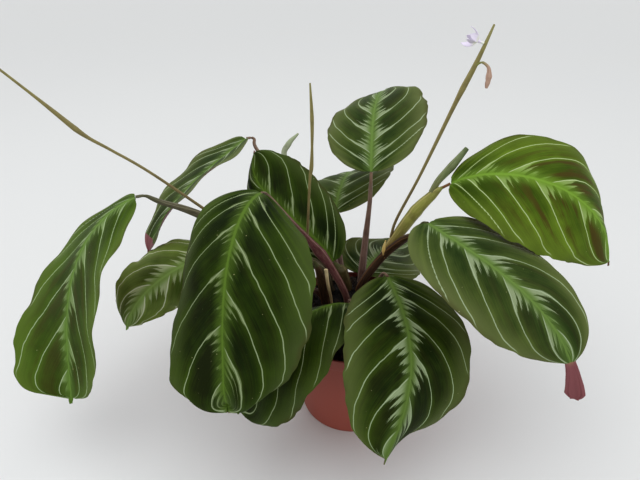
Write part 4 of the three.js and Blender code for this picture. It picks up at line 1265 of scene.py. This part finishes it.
class PLANT_OT_stage(bpy.types.Operator):
    """Sets the floor, the soft light and the camera"""

    bl_idname = "prayer_plant.stage"
    bl_label = "Stage"

    def execute(self, context):
        looks = context.scene.plant_stage
        scene = context.scene
        half = looks.floor_size / MM / 2
        corners = [(-half, -half, 0), (half, -half, 0), (half, half, 0), (-half, half, 0)]
        floor = add_piece("floor", corners, [[0, 1, 2, 3]], [floor_paint(looks.floor)])
        world = bpy.data.worlds.new("soft_sky")
        world.use_nodes = True
        background = world.node_tree.nodes["Background"]
        background.inputs["Color"].default_value = paint(*SKY)
        background.inputs["Strength"].default_value = looks.sky
        scene.world = world
        for name, (place, aim, size, share) in SOFTBOXES.items():
            add_softbox(name, place, aim, size, looks.softbox * share)
        camera_data = bpy.data.cameras.new("camera")
        camera_data.sensor_width = SENSOR_WIDTH
        camera_data.lens = SENSOR_WIDTH * FOCAL_PIXELS / IMAGE_WIDTH
        camera_data.clip_start = CAMERA_NEAR * MM
        camera = bpy.data.objects.new("camera", camera_data)
        camera.location = [value * MM for value in CAMERA_PLACE]
        camera.rotation_euler = (math.radians(90 - CAMERA_PITCH), 0, 0)
        scene.collection.objects.link(camera)
        scene.camera = camera
        scene.view_settings.view_transform = "Standard"
        scene.view_settings.look = "Medium High Contrast"
        return {"FINISHED"}


def add_softbox(name, place, aim, size, watts):
    """A square area light that stands at its place and faces its aim, both in millimetres."""
    data = bpy.data.lights.new(name, "AREA")
    data.size = size * MM
    data.energy = watts
    light = bpy.data.objects.new(name, data)
    start, goal = np.array(place) * MM, np.array(aim) * MM
    back = unit(start - goal)
    right = unit(np.cross([0.0, 1.0, 0.0], back))
    up = np.cross(back, right)
    rows = [[*row, start[i]] for i, row in enumerate(np.stack([right, up, back], 1))]
    light.matrix_world = Matrix(rows + [[0, 0, 0, 1]])
    bpy.context.scene.collection.objects.link(light)


OPERATORS = (PLANT_OT_stage, PLANT_OT_pot, PLANT_OT_soil, PLANT_OT_leaves, PLANT_OT_stalks, PLANT_OT_flowers)
SETTINGS = {"plant_leaf": LeafLooks, "plant_stalk": StalkLooks, "plant_pot": PotLooks,
            "plant_soil": SoilLooks, "plant_flower": FlowerLooks, "plant_stage": StageLooks}


class PLANT_PT_panel(bpy.types.Panel):
    """Lists the plant's pieces"""

    bl_idname = "PLANT_PT_panel"
    bl_label = "Prayer Plant"
    bl_space_type = "VIEW_3D"
    bl_region_type = "UI"
    bl_category = "Prayer Plant"

    def draw(self, context):
        for operator in OPERATORS:
            self.layout.operator(operator.bl_idname)


def register():
    """Makes the settings, the operators and the panel known to Blender."""
    for group in SETTINGS.values():
        bpy.utils.register_class(group)
    for operator in OPERATORS:
        bpy.utils.register_class(operator)
    bpy.utils.register_class(PLANT_PT_panel)
    for name, group in SETTINGS.items():
        setattr(bpy.types.Scene, name, bpy.props.PointerProperty(type=group))


def unregister():
    """Takes them away again, in the opposite order."""
    for name in SETTINGS:
        delattr(bpy.types.Scene, name)
    bpy.utils.unregister_class(PLANT_PT_panel)
    for operator in reversed(OPERATORS):
        bpy.utils.unregister_class(operator)
    for group in reversed(list(SETTINGS.values())):
        bpy.utils.unregister_class(group)


def main():
    """Builds the stage and every piece."""
    register()
    for operator in OPERATORS:
        family, step = operator.bl_idname.split(".")
        getattr(getattr(bpy.ops, family), step)()


if __name__ == "__main__":
    main()
